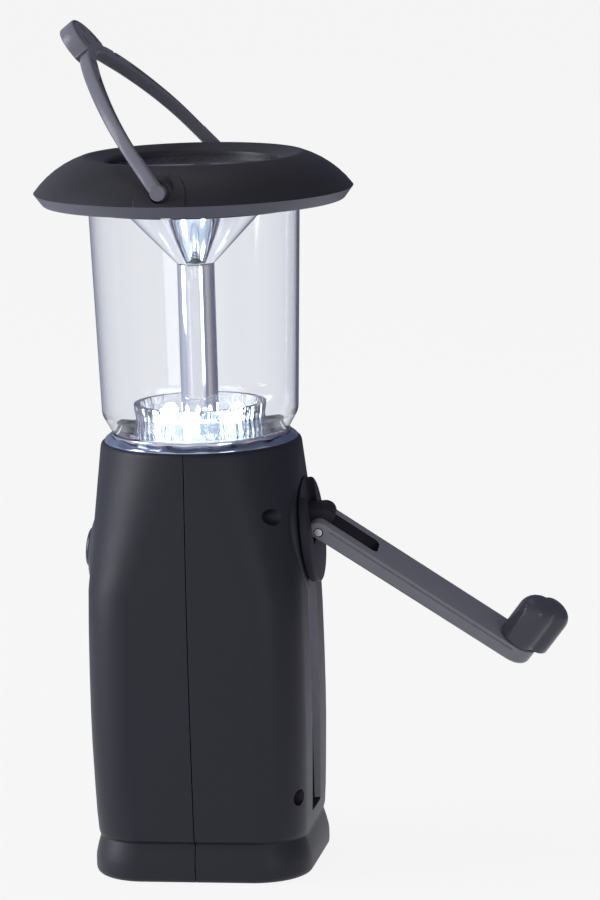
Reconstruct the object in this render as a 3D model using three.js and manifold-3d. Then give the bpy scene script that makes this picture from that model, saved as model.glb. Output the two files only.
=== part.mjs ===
// A hand-cranked camping lantern: a two-part plastic body that holds a crank-driven generator and a
// battery, a clear globe over a ring of lamps and a chrome post, and a domed hood with a solar cell
// and a swinging bail. Millimetres. +Z is up, -Y is the front, +X is the crank side, and the origin
// is on the floor under the middle of the base.
import * as THREE from 'three';
import { mergeVertices } from 'three/addons/utils/BufferGeometryUtils.js';
import Module from 'manifold-3d';

const wasm = await Module();
wasm.setup();

// Shared clearances and counts
const gap = 0.3;
const overrun = 1;
const weld = 1e-4;
const degree = Math.PI / 180;
const round_sides = 28;
const hood_sides = 36;
const small_sides = 8;
const hole_sides = 12;
const arc_steps = 4;
const corner_steps = 5;
const dome_steps = 7;
const lip_steps = 3;

// Body: a rounded square that turns into a circle at the shoulder, on a wider foot
const wall = 2.2;
const belly_z = 52;
const belly_half = 34.3;
const belly_corner = 15.8;
const foot_spread = 0.3;
const foot_half_x = belly_half + foot_spread;
const foot_flat = 0.9;
const foot_half_y = belly_half - foot_flat;
const foot_corner = 17.5;
const foot_round = 1.6;
const foot_round_step = 0.4;
const foot_round_z = 0.8;
const foot_low_z = 2.2;
const foot_high_z = 5.5;
const foot_slope_z = 9.3;
const foot_slope = 0.8;
const waist_z = 12.2;
const waist_inset = 1.7;
const skirt_z = 14.2;
const skirt_inset = 1;
const skirt_half = belly_half - skirt_inset;
const skirt_corner = 16.5;
const hip_z = 29;
const hip_inset = 0.45;
const hip_half = belly_half - hip_inset;
const chest_z = 91;
const chest_inset = 0.4;
const chest_half = belly_half - chest_inset;
const chest_corner = 16.5;
const shoulder_z = 134;
const shoulder_inset = 2.6;
const shoulder_half = belly_half - shoulder_inset;
const shoulder_flat = 0.5;
const shoulder_corner = shoulder_half - shoulder_flat;
const shoulder_shares = [0.35, 0.7];
const body_top_z = 135.8;
const body_top_round = 0.9;
const body_floor_z = 2.6;
const body_floor = 2.2;
const seam_gap = 0.3;
const deck_ledge = 5.9;
const deck_hole_r = shoulder_half - deck_ledge;

// Bottom cover
const cover_rim_x = 8.6;
const cover_rim_y = 9.4;
const cover_half_x = foot_half_x - cover_rim_x;
const cover_half_y = foot_half_y - cover_rim_y;
const cover_corner = 8;
const cover_thick = 2.2;
const cover_screw_inset = 6;
const cover_screw_xs = [-cover_half_x / 4, cover_half_x - cover_screw_inset];
const cover_boss_r = 3.4;
const cover_boss_z = 14;

// Screws that hold the two body shells together, and the small ones inside
const shell_screw_inset = 9.7;
const shell_screw_y = belly_half - shell_screw_inset;
const shell_screw_high_z = 115;
const shell_screw_low_z = 26;
const shell_bore_r = 2.6;
const shell_boss_r = 4.1;
const shell_head_x = 12;
const shell_head_r = 2.2;
const shell_head_h = 1.8;
const shell_shank_r = 1.1;
const shell_shank_end = -8;
const shell_boss_end = -11;
const shell_web = 2;
const small_head_r = 2;
const small_head_h = 1.3;
const small_shank_r = 0.9;

// Crank hub on the right wall
const hub_z = 106.5;
const hub_inset = 1.2;
const hub_x = belly_half - hub_inset;
const hub_tilt = 5 * degree;
const hub_turn = 14.15 * degree;
const hub_r = 16.6;
const hub_disc = 2.6;
const hub_seat_r = 17.6;
const hub_shaft_r = 3;
const hub_shaft_end = -20.4;
const hub_notch_half = 8.1;
const hub_notch_low = -1.9;
const hub_notch_floor = 0.9;
const bearing_r = 6;
const bearing_end = -7.6;
const tongue_half = 3.7;
const tongue_out = 9.6;
const tongue_top = 8.2;
const tongue_round = 3.2;
const tongue_step = 4.4;
const pin_out = 4.6;
const pin_up = 1.97;
const pin_r = 1.25;

// Crank arm, folded part of the way out
const arm_fold = 41.3 * degree;
const arm_half = 7.7;
const arm_above = 3.4;
const arm_below = 2.2;
const arm_tip = 79.3;
const arm_slot = 19.5;
const arm_groove = 0.35;
const arm_groove_drop = 1;
const arm_groove_start = 3;
const arm_tip_round = 1.8;
const knob_reach = 74.3;
const knob_turn = 37 * degree;
const knob_lobe_r = 6.1;
const knob_lobe_shift = 3.2;
const knob_tall = 16.3;
const knob_dome = 5.4;
const knob_bore_r = 2.2;
const knob_catch_r = 2.9;
const knob_catch_z = 9;
const knob_catch_h = 2;
const knob_cavity = 12;
const rivet_r = 1.9;
const rivet_neck_r = 1.3;
const rivet_head_r = 3;
const rivet_head_h = 1.1;
const rivet_catch_r = 2.5;

// Channel and pocket in the right wall where the folded crank is put away
const channel_half = 8.2;
const channel_deep = 3.5;
const channel_top_z = 94;
const pocket_low_z = 17.6;
const pocket_high_z = 41.5;
const pocket_deep = 20.4;
const liner = 1.8;

// Gearbox, in the hub's own frame: gears turn about its X axis
const gear_module = 0.8;
const drive_teeth = 40;
const idler_teeth = 36;
const pinion_teeth = 12;
const backlash = 0.3;
const tooth_deep_share = 1.15;
const tooth_high_share = 0.9;
const tooth_root_share = 0.32;
const tooth_tip_share = 0.13;
const drive_out = -8;
const drive_wide = 4;
const idler_pinion_out = -7.9;
const idler_step = -12.6;
const idler_wide = 3;
const idler_axle_r = 1.5;
const idler_boss_r = 3.2;
const idler_boss_end = -7.4;
const idler_socket_end = -3.8;
const plate_out = -17.8;
const plate_thick = 1.6;
const plate_half = 20;
const plate_top = 21;
const plate_low = -56;
const plate_corner = 3;
const plate_post_r = 2.8;
const post_inset = 3.6;
const post_inset_high = 4;
const post_inset_low = 7;
const post_y = plate_half - post_inset;
const post_high = plate_top - post_inset_high;
const post_low = plate_low + post_inset_low;
const drive_hub_r = 5.5;

// Generator
const can_r = 13;
const can_long = 17;
const can_wall = 0.8;
const can_nose_r = 4.4;
const can_nose = 1.9;
const magnet_r = 9.6;
const magnet_inset = 3;
const core_r = 8.8;
const core_inset = 4;
const rotor_shaft_r = 1;
const cap_thick = 1.6;
const generator_pinion_out = -12.5;
const generator_pinion_wide = 3.4;

// Lamp: tray, board, lamps, lens ring, post and globe
const tray_floor_z = 135.5;
const tray_floor = 2;
const tray_lip_z = 138.6;
const tray_lip = 1;
const tray_neck_play = 0.4;
const tray_neck_r = deck_hole_r - tray_neck_play;
const tray_flange_reach = 2;
const tray_flange_r = deck_hole_r + tray_flange_reach;
const tray_flange = 1.8;
const tray_wire_r = 3;
const dish_ledge = 4.9;
const dish_r = deck_hole_r - dish_ledge;
const board_play = 1.7;
const board_r = dish_r - board_play;
const board_thick = 1.4;
const lamp_count = 6;
const lamp_r = 2.5;
const lamp_rim_r = 2.9;
const lamp_rim_h = 1;
const lamp_tall = 8.6;
const lamp_steps = 3;
const lens_low_z = 138;
const lens_high_z = 147.4;
const lens_seat = 0.6;
const lens_flare = 0.7;
const lens_low_r = dish_r - lens_seat;
const lens_high_r = lens_low_r + lens_flare;
const lens_wall = 2;
const lens_sides = 24;
const post_r = 5.85;
const post_wall = 1;
const lamp_ring_r = (board_r + post_r) / 2;
const post_top_z = 191.2;
const globe_low_r = 27.9;
const tray_lip_r = globe_low_r + gap;
const globe_low_z = 139.1;
const globe_waist_r = 30.9;
const globe_waist_z = 144.4;
const globe_top_r = 33.1;
const globe_top_z = 211;
const globe_wall = 2;

// Upper reflector cone
const cone_low_r = 6.1;
const cone_skin = 1.2;
const cone_rim = 1.4;
const cone_high_z = globe_top_z - cone_rim;
const cone_play = 0.5;
const cone_flange_r = globe_top_r - globe_wall - cone_play;
const cone_flange = 7.2;
const cone_high_r = cone_flange_r - cone_flange;
const spigot_r = 4.5;
const spigot_long = 5.5;
const spigot_bore = 2.6;

// Hood
const hood_turn = -2 * degree;
const hood_overhang = 16.9;
const hood_rim_r = globe_top_r + hood_overhang;
const hood_band_z = globe_top_z;
const hood_band_tall = 3.7;
const hood_band_taper = 2.8;
const hood_band_r = hood_rim_r - hood_band_taper;
const hood_rim_z = hood_band_z + hood_band_tall;
const hood_arc_r = 30.2;
const hood_arc_inset = 24.3;
const hood_arc_x = hood_rim_r - hood_arc_inset;
const hood_arc_z = hood_rim_z - Math.sqrt(hood_arc_r ** 2 - hood_arc_inset ** 2);
const hood_skin = 2;
const hood_crest_in = 16;
const hood_crest_r = hood_rim_r - hood_crest_in;
const hood_lip_round = 4;
const hood_lip_slope = 15 * degree;
const hood_lip_wide = 7;
const hood_lip_r = hood_crest_r - hood_lip_wide;
const hood_lip_edge = 0.8;
const well_floor_z = 219.5;
const well_floor = 2;
const panel_play = 0.5;
const panel_r = hood_lip_r - panel_play;
const panel_thick = 1.2;
const window_thick = 1;
const plate_play = 0.3;
const plate_r = hood_band_r - hood_skin - plate_play;
const under_plate = 2;
const under_bore_r = 3;
const globe_collar_wall = 1.9;
const globe_collar_r = globe_top_r + globe_collar_wall;
const globe_collar = 2.2;
const hood_boss_r = 3.2;
const hood_boss_space = 0.4;
const hood_boss_ring = globe_collar_r + hood_boss_r + hood_boss_space;
const hood_boss_count = 3;
const hood_boss_start = Math.PI / 6;
const hood_screw_long = 6.4;
const ear_r = 5;
const ear_face_r = 3.5;
const ear_inset = 3.3;
const ear_face = hood_rim_r - ear_inset;
const ear_cone = 0.8;
const ear_edge = ear_face - ear_cone;
const ear_spot_r = 3.2;
const ear_backing_r = 8.4;
const ear_thick = 4.5;
const ear_back = ear_face - ear_thick;

// Bail, drawn upright in its own plane and leaning to the left
const pivot_z = 219;
const bail_lean = -39 * degree;
const bail_thick = 4.4;
const bail_end_r = 2.4;
const bail_pin_r = 1.8;
const bail_pin_reach = 2.3;
const bail_pin_end = ear_back - bail_pin_reach;
const bail_overhang = 3.5;
const bail_half = ear_face + bail_overhang;
const bail_outer_shares = [
  [1, 0], [0.998, 0.04], [0.98, 0.1], [0.946, 0.169], [0.918, 0.239], [0.886, 0.319],
  [0.849, 0.398], [0.805, 0.478], [0.747, 0.558], [0.677, 0.637], [0.6, 0.717], [0.512, 0.797],
  [0.41, 0.876], [0.295, 0.948], [0.183, 1.008]];
const bail_inner_shares = [
  [0.936, 0], [0.936, 0.04], [0.932, 0.088], [0.908, 0.159], [0.878, 0.239], [0.841, 0.319],
  [0.793, 0.398], [0.731, 0.478], [0.657, 0.558], [0.57, 0.637], [0.47, 0.717], [0.361, 0.797],
  [0.225, 0.876], [0.131, 0.934], [0, 0.984]];
const grip_centre_share = 1.04;
const grip_r = 8.8;
const grip_back = 3.3;
const grip_front = 2.4;
const grip_pocket = 3;
const grip_slots = [[1.2, 2.6], [4.4, 6]];
const grip_slot_rise = 0.8;
const grip_slot_tall = 4.2;
const grip_slot_low = grip_centre_share * bail_half + grip_slot_rise;
const grip_slot_high = grip_slot_low + grip_slot_tall;
const channel_deep_in_leg = 2;
const channel_shares = [0.3, 0.7];
const channel_from = 4;
const channel_to = 13;
const retainer_r = 3.3;
const retainer_thick = 1.2;

// Power button on the left wall
const button_z = 100.5;
const button_inset = 0.9;
const button_x = button_inset - belly_half;
const button_tilt = 5 * degree;
const button_r = 6.4;
const button_out = 4.1;
const button_flange_r = 7.8;
const button_flange = 1.3;
const button_travel = 1;
const button_stem_r = 1.8;
const button_dome = 0.8;
const bezel_r = 14;
const bezel_out = 2;
const bezel_step_r = 10.5;
const bezel_step = 0.8;
const bezel_neck_r = 8.2;
const bezel_neck = 1.6;

// Board, switch and battery
const board_space = 12.4;
const board_x = button_x + board_space;
const pcb_thick = 1.6;
const pcb_half = 19;
const pcb_low_z = 72;
const pcb_high_z = 120;
const rail_deep = 3;
const rail_thick = 1.8;
const switch_half = 3.1;
const switch_tall = 4;
const switch_plunger_r = 1.6;
const switch_plunger = 1.2;
const capacitor_r = 4;
const capacitor_long = 11;
const capacitor_y = 10;
const capacitor_z = 84;
const cell_r = 7.1;
const cell_long = 28.5;
const cell_nub_r = 2.6;
const cell_nub = 0.8;
const cell_inset = 12.8;
const cell_x = cell_inset - belly_half;
const cell_count = 3;
const cell_space = 0.8;
const cell_pitch = 2 * cell_r + cell_space;
const cradle_wall_x = 1.7;
const cradle_wall_y = 2.3;
const cradle_half_x = cell_r + cradle_wall_x;
const cradle_half_y = cell_pitch + cell_r + cradle_wall_y;
const cradle_corner = 8;
const cradle_tall = 15;
const cradle_floor = 1.5;
const lead_r = 1;
const lead_bend_x = -1;
const lead_bend_drop = 7.5;
const lead_slack_x = -9;
const lead_slack_y = -2;
const lead_end_y = -3;
const lead_end_drop = 8;
const lead_slack_rise = 5;
const lead_steps = 18;
const lead_sides = 6;

const plastic = (name) => new THREE.MeshStandardMaterial({ name, color: 0x2b2b30, roughness: 0.6 });
const materials = {
  body: plastic('body_plastic'),
  hood: new THREE.MeshStandardMaterial({ name: 'hood_plastic', color: 0x29292c, roughness: 0.62 }),
  crank: new THREE.MeshStandardMaterial({ name: 'crank_plastic', color: 0x33333a, roughness: 0.38 }),
  clear: new THREE.MeshStandardMaterial({
    name: 'clear_plastic', color: 0xe8ecf6, roughness: 0.04, transparent: true, opacity: 0.3,
  }),
  chrome: new THREE.MeshStandardMaterial({ name: 'chrome', color: 0xe4e5ea, roughness: 0.06, metalness: 1 }),
  dish: new THREE.MeshStandardMaterial({ name: 'tray_plastic', color: 0x4b4658, roughness: 0.15 }),
  steel: new THREE.MeshStandardMaterial({ name: 'steel', color: 0xa9abb0, roughness: 0.35, metalness: 1 }),
  gear: new THREE.MeshStandardMaterial({ name: 'gear_nylon', color: 0xe9e5d8, roughness: 0.5 }),
  lamp: new THREE.MeshStandardMaterial({ name: 'lamp', color: 0xffffff, roughness: 0.1, emissive: 0xffffff }),
  solar: new THREE.MeshStandardMaterial({ name: 'solar_cell', color: 0x1c1a24, roughness: 0.25 }),
  board: new THREE.MeshStandardMaterial({ name: 'board', color: 0x1f5c3a, roughness: 0.5 }),
  cell: new THREE.MeshStandardMaterial({ name: 'cell_wrap', color: 0x3f8a4f, roughness: 0.4 }),
  magnet: new THREE.MeshStandardMaterial({ name: 'magnet', color: 0x3a3a3c, roughness: 0.7, metalness: 0.3 }),
  lead: new THREE.MeshStandardMaterial({ name: 'lead', color: 0xb02a24, roughness: 0.5 }),
};

// Closed, merged and outward-facing copy of a geometry
function closed(source) {
  const bare = new THREE.BufferGeometry();
  bare.setAttribute('position', source.getAttribute('position').clone());
  if (source.index) bare.setIndex(source.index.clone());
  const merged = mergeVertices(bare, weld);
  const from = merged.index.array;
  const at = merged.getAttribute('position');
  const kept = [];
  const a = new THREE.Vector3();
  const b = new THREE.Vector3();
  const c = new THREE.Vector3();
  let volume = 0;
  for (let i = 0; i < from.length; i += 3) {
    const [p, q, r] = [from[i], from[i + 1], from[i + 2]];
    if (p === q || q === r || r === p) continue;
    kept.push(p, q, r);
    a.fromBufferAttribute(at, p);
    b.fromBufferAttribute(at, q);
    c.fromBufferAttribute(at, r);
    volume += a.dot(b.cross(c));
  }
  if (volume < 0) kept.reverse();
  merged.setIndex(kept);
  return merged;
}

function solid(geometry) {
  const shape = closed(geometry);
  return new wasm.Manifold(new wasm.Mesh({
    numProp: 3,
    vertProperties: new Float32Array(shape.getAttribute('position').array),
    triVerts: new Uint32Array(shape.index.array),
  }));
}

function geometryOf(body) {
  const { vertProperties, triVerts } = body.getMesh();
  const geometry = new THREE.BufferGeometry();
  geometry.setAttribute('position', new THREE.BufferAttribute(vertProperties, 3));
  geometry.setIndex(new THREE.BufferAttribute(triVerts, 1));
  return geometry;
}

function piece(name, shape, material) {
  const geometry = shape.getMesh ? geometryOf(shape) : closed(shape);
  geometry.computeVertexNormals();
  const mesh = new THREE.Mesh(geometry, material);
  mesh.name = name;
  return mesh;
}

const cut = (body, ...tools) => tools.reduce((rest, tool) => rest.subtract(tool), body);
const join = (...bodies) => bodies.reduce((sum, body) => sum.add(body));

// Basic shapes, all as solids
function block(x0, x1, y0, y1, z0, z1) {
  const box = new THREE.BoxGeometry(x1 - x0, y1 - y0, z1 - z0);
  return solid(box.translate((x0 + x1) / 2, (y0 + y1) / 2, (z0 + z1) / 2));
}

function rodGeometry(r, low, high, sides) {
  const rod = new THREE.CylinderGeometry(r, r, high - low, sides);
  return rod.rotateX(Math.PI / 2).translate(0, 0, (low + high) / 2);
}

const rodZ = (r, low, high, x = 0, y = 0, sides = hole_sides) => (
  solid(rodGeometry(r, low, high, sides).translate(x, y, 0)));
const rodX = (r, low, high, y = 0, z = 0, sides = hole_sides) => (
  solid(rodGeometry(r, low, high, sides).rotateY(Math.PI / 2).translate(0, y, z)));
const rodY = (r, low, high, x = 0, z = 0, sides = hole_sides) => (
  solid(rodGeometry(r, -high, -low, sides).rotateX(Math.PI / 2).translate(x, 0, z)));

// A profile of [radius, height] points turned about Z; it starts and ends on the axis or closes
function turned(profile, sides = round_sides) {
  const points = profile.map(([r, z]) => new THREE.Vector2(r, z));
  if (profile[0][0] > 0) points.push(points[0].clone());
  return new THREE.LatheGeometry(points, sides).rotateX(Math.PI / 2);
}

// The same, lying along X, with heights that run along X
const turnedX = (profile, sides = small_sides) => turned(profile, sides).rotateY(Math.PI / 2);

function arc(x, z, r, from, to, steps = arc_steps) {
  return Array.from({ length: steps + 1 }, (_, i) => {
    const angle = from + ((to - from) * i) / steps;
    return [x + r * Math.cos(angle), z + r * Math.sin(angle)];
  });
}

const outline = (points) => new THREE.Shape(points.map(([x, y]) => new THREE.Vector2(x, y)));
function prism(points, low, high) {
  const options = { depth: high - low, bevelEnabled: false };
  return new THREE.ExtrudeGeometry(outline(points), options).translate(0, 0, low);
}

const axisX = new THREE.Vector3(1, 0, 0);
const axisY = new THREE.Vector3(0, 1, 0);
const axisZ = new THREE.Vector3(0, 0, 1);
const alongX = new THREE.Matrix4().makeBasis(axisY, axisZ, axisX);
const alongY = new THREE.Matrix4().makeBasis(axisX, axisZ, axisY.clone().negate());

// Prisms whose outline is drawn in Y and Z, or in X and Z, and whose depth runs along X or Y
const prismX = (points, low, high) => prism(points, low, high).applyMatrix4(alongX);
const prismY = (points, low, high) => prism(points, -high, -low).applyMatrix4(alongY);

// One level of a rounded rectangle, starting on +X and going round
function roundedLevel(halfX, halfY, corner, z) {
  const r = Math.min(corner, halfX, halfY);
  const centres = [[1, 1], [-1, 1], [-1, -1], [1, -1]];
  return centres.flatMap(([sx, sy], quarter) => {
    const from = (quarter * Math.PI) / 2;
    const corner_arc = arc(sx * (halfX - r), sy * (halfY - r), r, from, from + Math.PI / 2, corner_steps);
    return corner_arc.map(([x, y]) => [x, y, z]);
  });
}

// Levels of equal counts joined into one closed body
function lofted(levels) {
  const count = levels[0].length;
  const points = levels.flat();
  const faces = [];
  for (let level = 0; level + 1 < levels.length; level += 1) {
    for (let i = 0; i < count; i += 1) {
      const a = level * count + i;
      const b = level * count + ((i + 1) % count);
      faces.push(a, b, b + count, a, b + count, a + count);
    }
  }
  const last = (levels.length - 1) * count;
  for (let i = 1; i + 1 < count; i += 1) {
    faces.push(0, i + 1, i, last, last + i, last + i + 1);
  }
  const geometry = new THREE.BufferGeometry();
  geometry.setAttribute('position', new THREE.BufferAttribute(new Float32Array(points.flat()), 3));
  geometry.setIndex(faces);
  return geometry;
}

function roundedPlate(halfX, halfY, corner, low, high) {
  return solid(lofted([roundedLevel(halfX, halfY, corner, low), roundedLevel(halfX, halfY, corner, high)]));
}

// Place a shape drawn in the hub's frame into the body's frame
const hubMatrix = new THREE.Matrix4().makeRotationY(-hub_tilt).setPosition(hub_x, 0, hub_z);
const hubPlaced = (body) => solid(geometryOf(body).applyMatrix4(hubMatrix));
const buttonMatrix = new THREE.Matrix4().makeRotationY(button_tilt).setPosition(button_x, 0, button_z);
const buttonPlaced = (body) => solid(geometryOf(body).applyMatrix4(buttonMatrix));

// A small machine screw along -X from its head's outer face at x = 0
function screwShape(headR, headH, shankR, length) {
  return turnedX([[0, 0], [headR, 0], [headR, -headH], [shankR, -headH], [shankR, -length], [0, -length]]);
}

// A spur gear drawn about X, from x = low to x = high, with a round bore
function gearShape(teeth, low, high, boreR, turn = 0) {
  const pitch = (gear_module * teeth) / 2;
  const root = pitch - gear_module * tooth_deep_share;
  const tip = pitch + gear_module * tooth_high_share;
  const points = [];
  for (let i = 0; i < teeth; i += 1) {
    const middle = turn + (2 * Math.PI * i) / teeth;
    const step = (2 * Math.PI) / teeth;
    for (const [r, share] of [[root, -tooth_root_share], [tip, -tooth_tip_share],
      [tip, tooth_tip_share], [root, tooth_root_share]]) {
      points.push([r * Math.cos(middle + step * share), r * Math.sin(middle + step * share)]);
    }
  }
  const wheel = solid(prismX(points, low, high));
  return boreR > 0 ? cut(wheel, rodX(boreR, low - overrun, high + overrun)) : wheel;
}

const pitchR = (teeth) => (gear_module * teeth) / 2;
const idlerDrop = pitchR(drive_teeth) + pitchR(pinion_teeth) + backlash;
const generatorDrop = idlerDrop + pitchR(idler_teeth) + pitchR(pinion_teeth) + backlash;

// Body shells
function bodyLevels(inset) {
  const waist_half_x = foot_half_x - waist_inset;
  const waist_half_y = foot_half_y - waist_inset;
  const waist_corner = foot_corner - waist_inset;
  const top_half = shoulder_half - body_top_round;
  const rows = [
    [foot_half_x - foot_round, foot_half_y - foot_round, foot_corner - foot_round, 0],
    [foot_half_x - foot_round_step, foot_half_y - foot_round_step, foot_corner, foot_round_z],
    [foot_half_x, foot_half_y, foot_corner, foot_low_z],
    [foot_half_x, foot_half_y, foot_corner, foot_high_z],
    [foot_half_x - foot_slope, foot_half_y - foot_slope, foot_corner - foot_slope, foot_slope_z],
    [waist_half_x, waist_half_y, waist_corner, waist_z],
    [skirt_half, skirt_half, skirt_corner, skirt_z],
    [hip_half, hip_half, belly_corner, hip_z],
    [belly_half, belly_half, belly_corner, belly_z],
    [chest_half, chest_half, chest_corner, chest_z],
    [shoulder_half, shoulder_half, shoulder_corner, shoulder_z],
    [top_half, top_half, shoulder_corner - body_top_round, body_top_z],
  ];
  const rowAt = (level) => rows.find(([, , , z]) => z === level);
  const [chestRow, shoulderRow] = [chest_z, shoulder_z].map(rowAt);
  const shoulderRows = shoulder_shares.map((share) => between(chestRow, shoulderRow, share));
  rows.splice(rows.indexOf(shoulderRow), 0, ...shoulderRows);
  return rows.map(([x, y, r, z]) => [x - inset, y - inset, r - inset, z]);
}

function bodyOuter() {
  return solid(lofted(bodyLevels(0).map(([x, y, r, z]) => roundedLevel(x, y, r, z))));
}

function bodyInner() {
  const high = body_top_z - wall;
  const kept = [skirt_z, belly_z, chest_z];
  const rows = bodyLevels(wall);
  const inside = rows.filter(([, , , z]) => kept.includes(z));
  const first = [...rows.find(([, , , z]) => z === waist_z).slice(0, -1), body_floor_z + body_floor];
  const last = [...rows.find(([, , , z]) => z === shoulder_z).slice(0, -1), high];
  return solid(lofted([first, ...inside, last].map(([x, y, r, z]) => roundedLevel(x, y, r, z))));
}

function shellBosses(side) {
  const places = [];
  for (const y of [-shell_screw_y, shell_screw_y]) {
    for (const z of [shell_screw_low_z, shell_screw_high_z]) places.push([y, z]);
  }
  const [x0, x1] = side > 0 ? [gap, hub_x] : [shell_boss_end, -gap];
  return places.flatMap(([y, z]) => {
    const [y0, y1] = [y, Math.sign(y) * belly_half].sort((a, b) => a - b);
    return [rodX(shell_boss_r, x0, x1, y, z), block(x0, x1, y0, y1, z - shell_web / 2, z + shell_web / 2)];
  });
}

const coverPlaces = () => cover_screw_xs.map((x) => [x, 0]);

function bodyHalf(side) {
  const outer = bodyOuter();
  const reach = belly_half + overrun;
  const halfSpace = side > 0
    ? block(seam_gap / 2, reach + foot_half_x, -reach, reach, -overrun, body_top_z + overrun)
    : block(-reach - foot_half_x, -seam_gap / 2, -reach, reach, -overrun, body_top_z + overrun);
  const deckHole = rodZ(deck_hole_r, body_top_z - wall - overrun, body_top_z + overrun, 0, 0, round_sides);
  let half = cut(outer, bodyInner(), deckHole);
  const additions = shellBosses(side);
  for (const [x, y] of coverPlaces()) {
    if (x * side > 0) additions.push(rodZ(cover_boss_r, body_floor_z, cover_boss_z, x, y));
  }
  if (side > 0) additions.push(...rightAdditions());
  else additions.push(...leftAdditions());
  half = join(half, ...additions.map((item) => item.intersect(outer)));
  const recess = roundedPlate(cover_half_x + gap, cover_half_y + gap, cover_corner, -overrun, body_floor_z);
  half = cut(half, recess);
  for (const [x, y] of coverPlaces()) {
    half = cut(half, rodZ(small_shank_r + gap, -overrun, cover_boss_z - overrun, x, y, small_sides));
  }
  half = cut(half, ...(side > 0 ? rightCuts() : leftCuts()));
  return half.intersect(halfSpace);
}

function rightAdditions() {
  const floor_x = belly_half - channel_deep;
  const postEnd = plate_out + gap;
  const reach_y = channel_half + liner;
  return [
    block(floor_x - wall, belly_half, -reach_y, reach_y, pocket_high_z, channel_top_z),
    block(belly_half - pocket_deep - liner, belly_half, -reach_y, reach_y, pocket_low_z - liner,
      pocket_high_z + liner),
    hubPlaced(rodX(hub_seat_r, -wall - overrun, overrun, 0, 0, round_sides)),
    hubPlaced(rodX(bearing_r, bearing_end, 0, 0, 0, 2 * small_sides)),
    hubPlaced(rodX(idler_boss_r, idler_boss_end, -wall, 0, -idlerDrop)),
    ...postPlaces().map(([y, z]) => hubPlaced(rodX(plate_post_r, postEnd, overrun, y, z))),
  ];
}

function rightCuts() {
  const floor_x = belly_half - channel_deep;
  const out = belly_half + hub_r;
  const cuts = [
    block(floor_x, out, -channel_half, channel_half, pocket_low_z, channel_top_z - wall),
    block(belly_half - pocket_deep, out, -channel_half, channel_half, pocket_low_z, pocket_high_z),
    hubPlaced(rodX(hub_seat_r, 0, hub_r, 0, 0, round_sides)),
    hubPlaced(rodX(hub_shaft_r + gap, bearing_end - overrun, overrun, 0, 0)),
    hubPlaced(rodX(idler_axle_r + gap, idler_boss_end - overrun, idler_socket_end, 0, -idlerDrop)),
    ...postPlaces().map(([y, z]) => hubPlaced(
      rodX(small_shank_r + gap, plate_out - overrun, plate_out + hood_screw_long, y, z, small_sides))),
  ];
  for (const y of [-shell_screw_y, shell_screw_y]) {
    for (const z of [shell_screw_low_z, shell_screw_high_z]) {
      cuts.push(rodX(shell_bore_r, shell_head_x, out, y, z));
      cuts.push(rodX(shell_shank_r + gap, -overrun, shell_head_x + overrun, y, z));
    }
  }
  return cuts;
}

const postPlaces = () => [[-post_y, post_high], [post_y, post_high], [-post_y, post_low], [post_y, post_low]];

function leftAdditions() {
  const grips = [-pcb_half, pcb_half].map((y) => {
    const inward = Math.sign(y) * (rail_deep - gap);
    const [y0, y1] = [y - inward, y + Math.sign(y) * belly_half].sort((a, b) => a - b);
    return block(board_x - rail_thick - gap, board_x + pcb_thick + rail_thick + gap, y0, y1,
      pcb_low_z - rail_thick, pcb_high_z + gap);
  });
  return [
    ...grips,
    buttonPlaced(rodX(bezel_r, -overrun, wall, 0, 0, round_sides)),
  ];
}

function leftCuts() {
  const cuts = [
    block(board_x - gap, board_x + pcb_thick + gap, -pcb_half - gap, pcb_half + gap, pcb_low_z,
      pcb_high_z + overrun),
    buttonPlaced(rodX(bezel_r, -bezel_r, 0, 0, 0, round_sides)),
    buttonPlaced(rodX(bezel_neck_r + gap, -overrun, bezel_r / 2, 0, 0, round_sides)),
  ];
  for (const y of [-shell_screw_y, shell_screw_y]) {
    for (const z of [shell_screw_low_z, shell_screw_high_z]) {
      cuts.push(rodX(shell_shank_r + gap, shell_shank_end - overrun, overrun, y, z));
    }
  }
  return cuts;
}

function baseCover() {
  const cover = roundedPlate(cover_half_x, cover_half_y, cover_corner, 0, cover_thick);
  return cut(cover, ...coverPlaces().flatMap(([x, y]) => [
    rodZ(small_shank_r + gap, -overrun, cover_thick + overrun, x, y, small_sides),
    rodZ(small_head_r + gap, -overrun, small_head_h + gap, x, y),
  ]));
}

function placedScrew(name, length, x, y, z, up) {
  const screw = piece(name, screwShape(small_head_r, small_head_h, small_shank_r, length), materials.steel);
  screw.rotation.y = up ? Math.PI / 2 : -Math.PI / 2;
  screw.position.set(x, y, z);
  return screw;
}

function body() {
  const group = new THREE.Group();
  group.add(piece('body_shell_left', bodyHalf(-1), materials.body));
  group.add(piece('body_shell_right', bodyHalf(1), materials.body));
  group.add(piece('base_cover', baseCover(), materials.body));
  coverPlaces().forEach(([x, y], i) => {
    group.add(placedScrew(`cover_screw_${i + 1}`, small_head_h + cover_boss_z / 2, x, y, gap, true));
  });
  let count = 0;
  for (const z of [shell_screw_high_z, shell_screw_low_z]) {
    for (const y of [-shell_screw_y, shell_screw_y]) {
      count += 1;
      const head_x = shell_head_x + gap + shell_head_h;
      const screw = piece(`shell_screw_${count}`,
        screwShape(shell_head_r, shell_head_h, shell_shank_r, head_x - shell_shank_end), materials.steel);
      screw.position.set(head_x, y, z);
      group.add(screw);
    }
  }
  return group;
}

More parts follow.
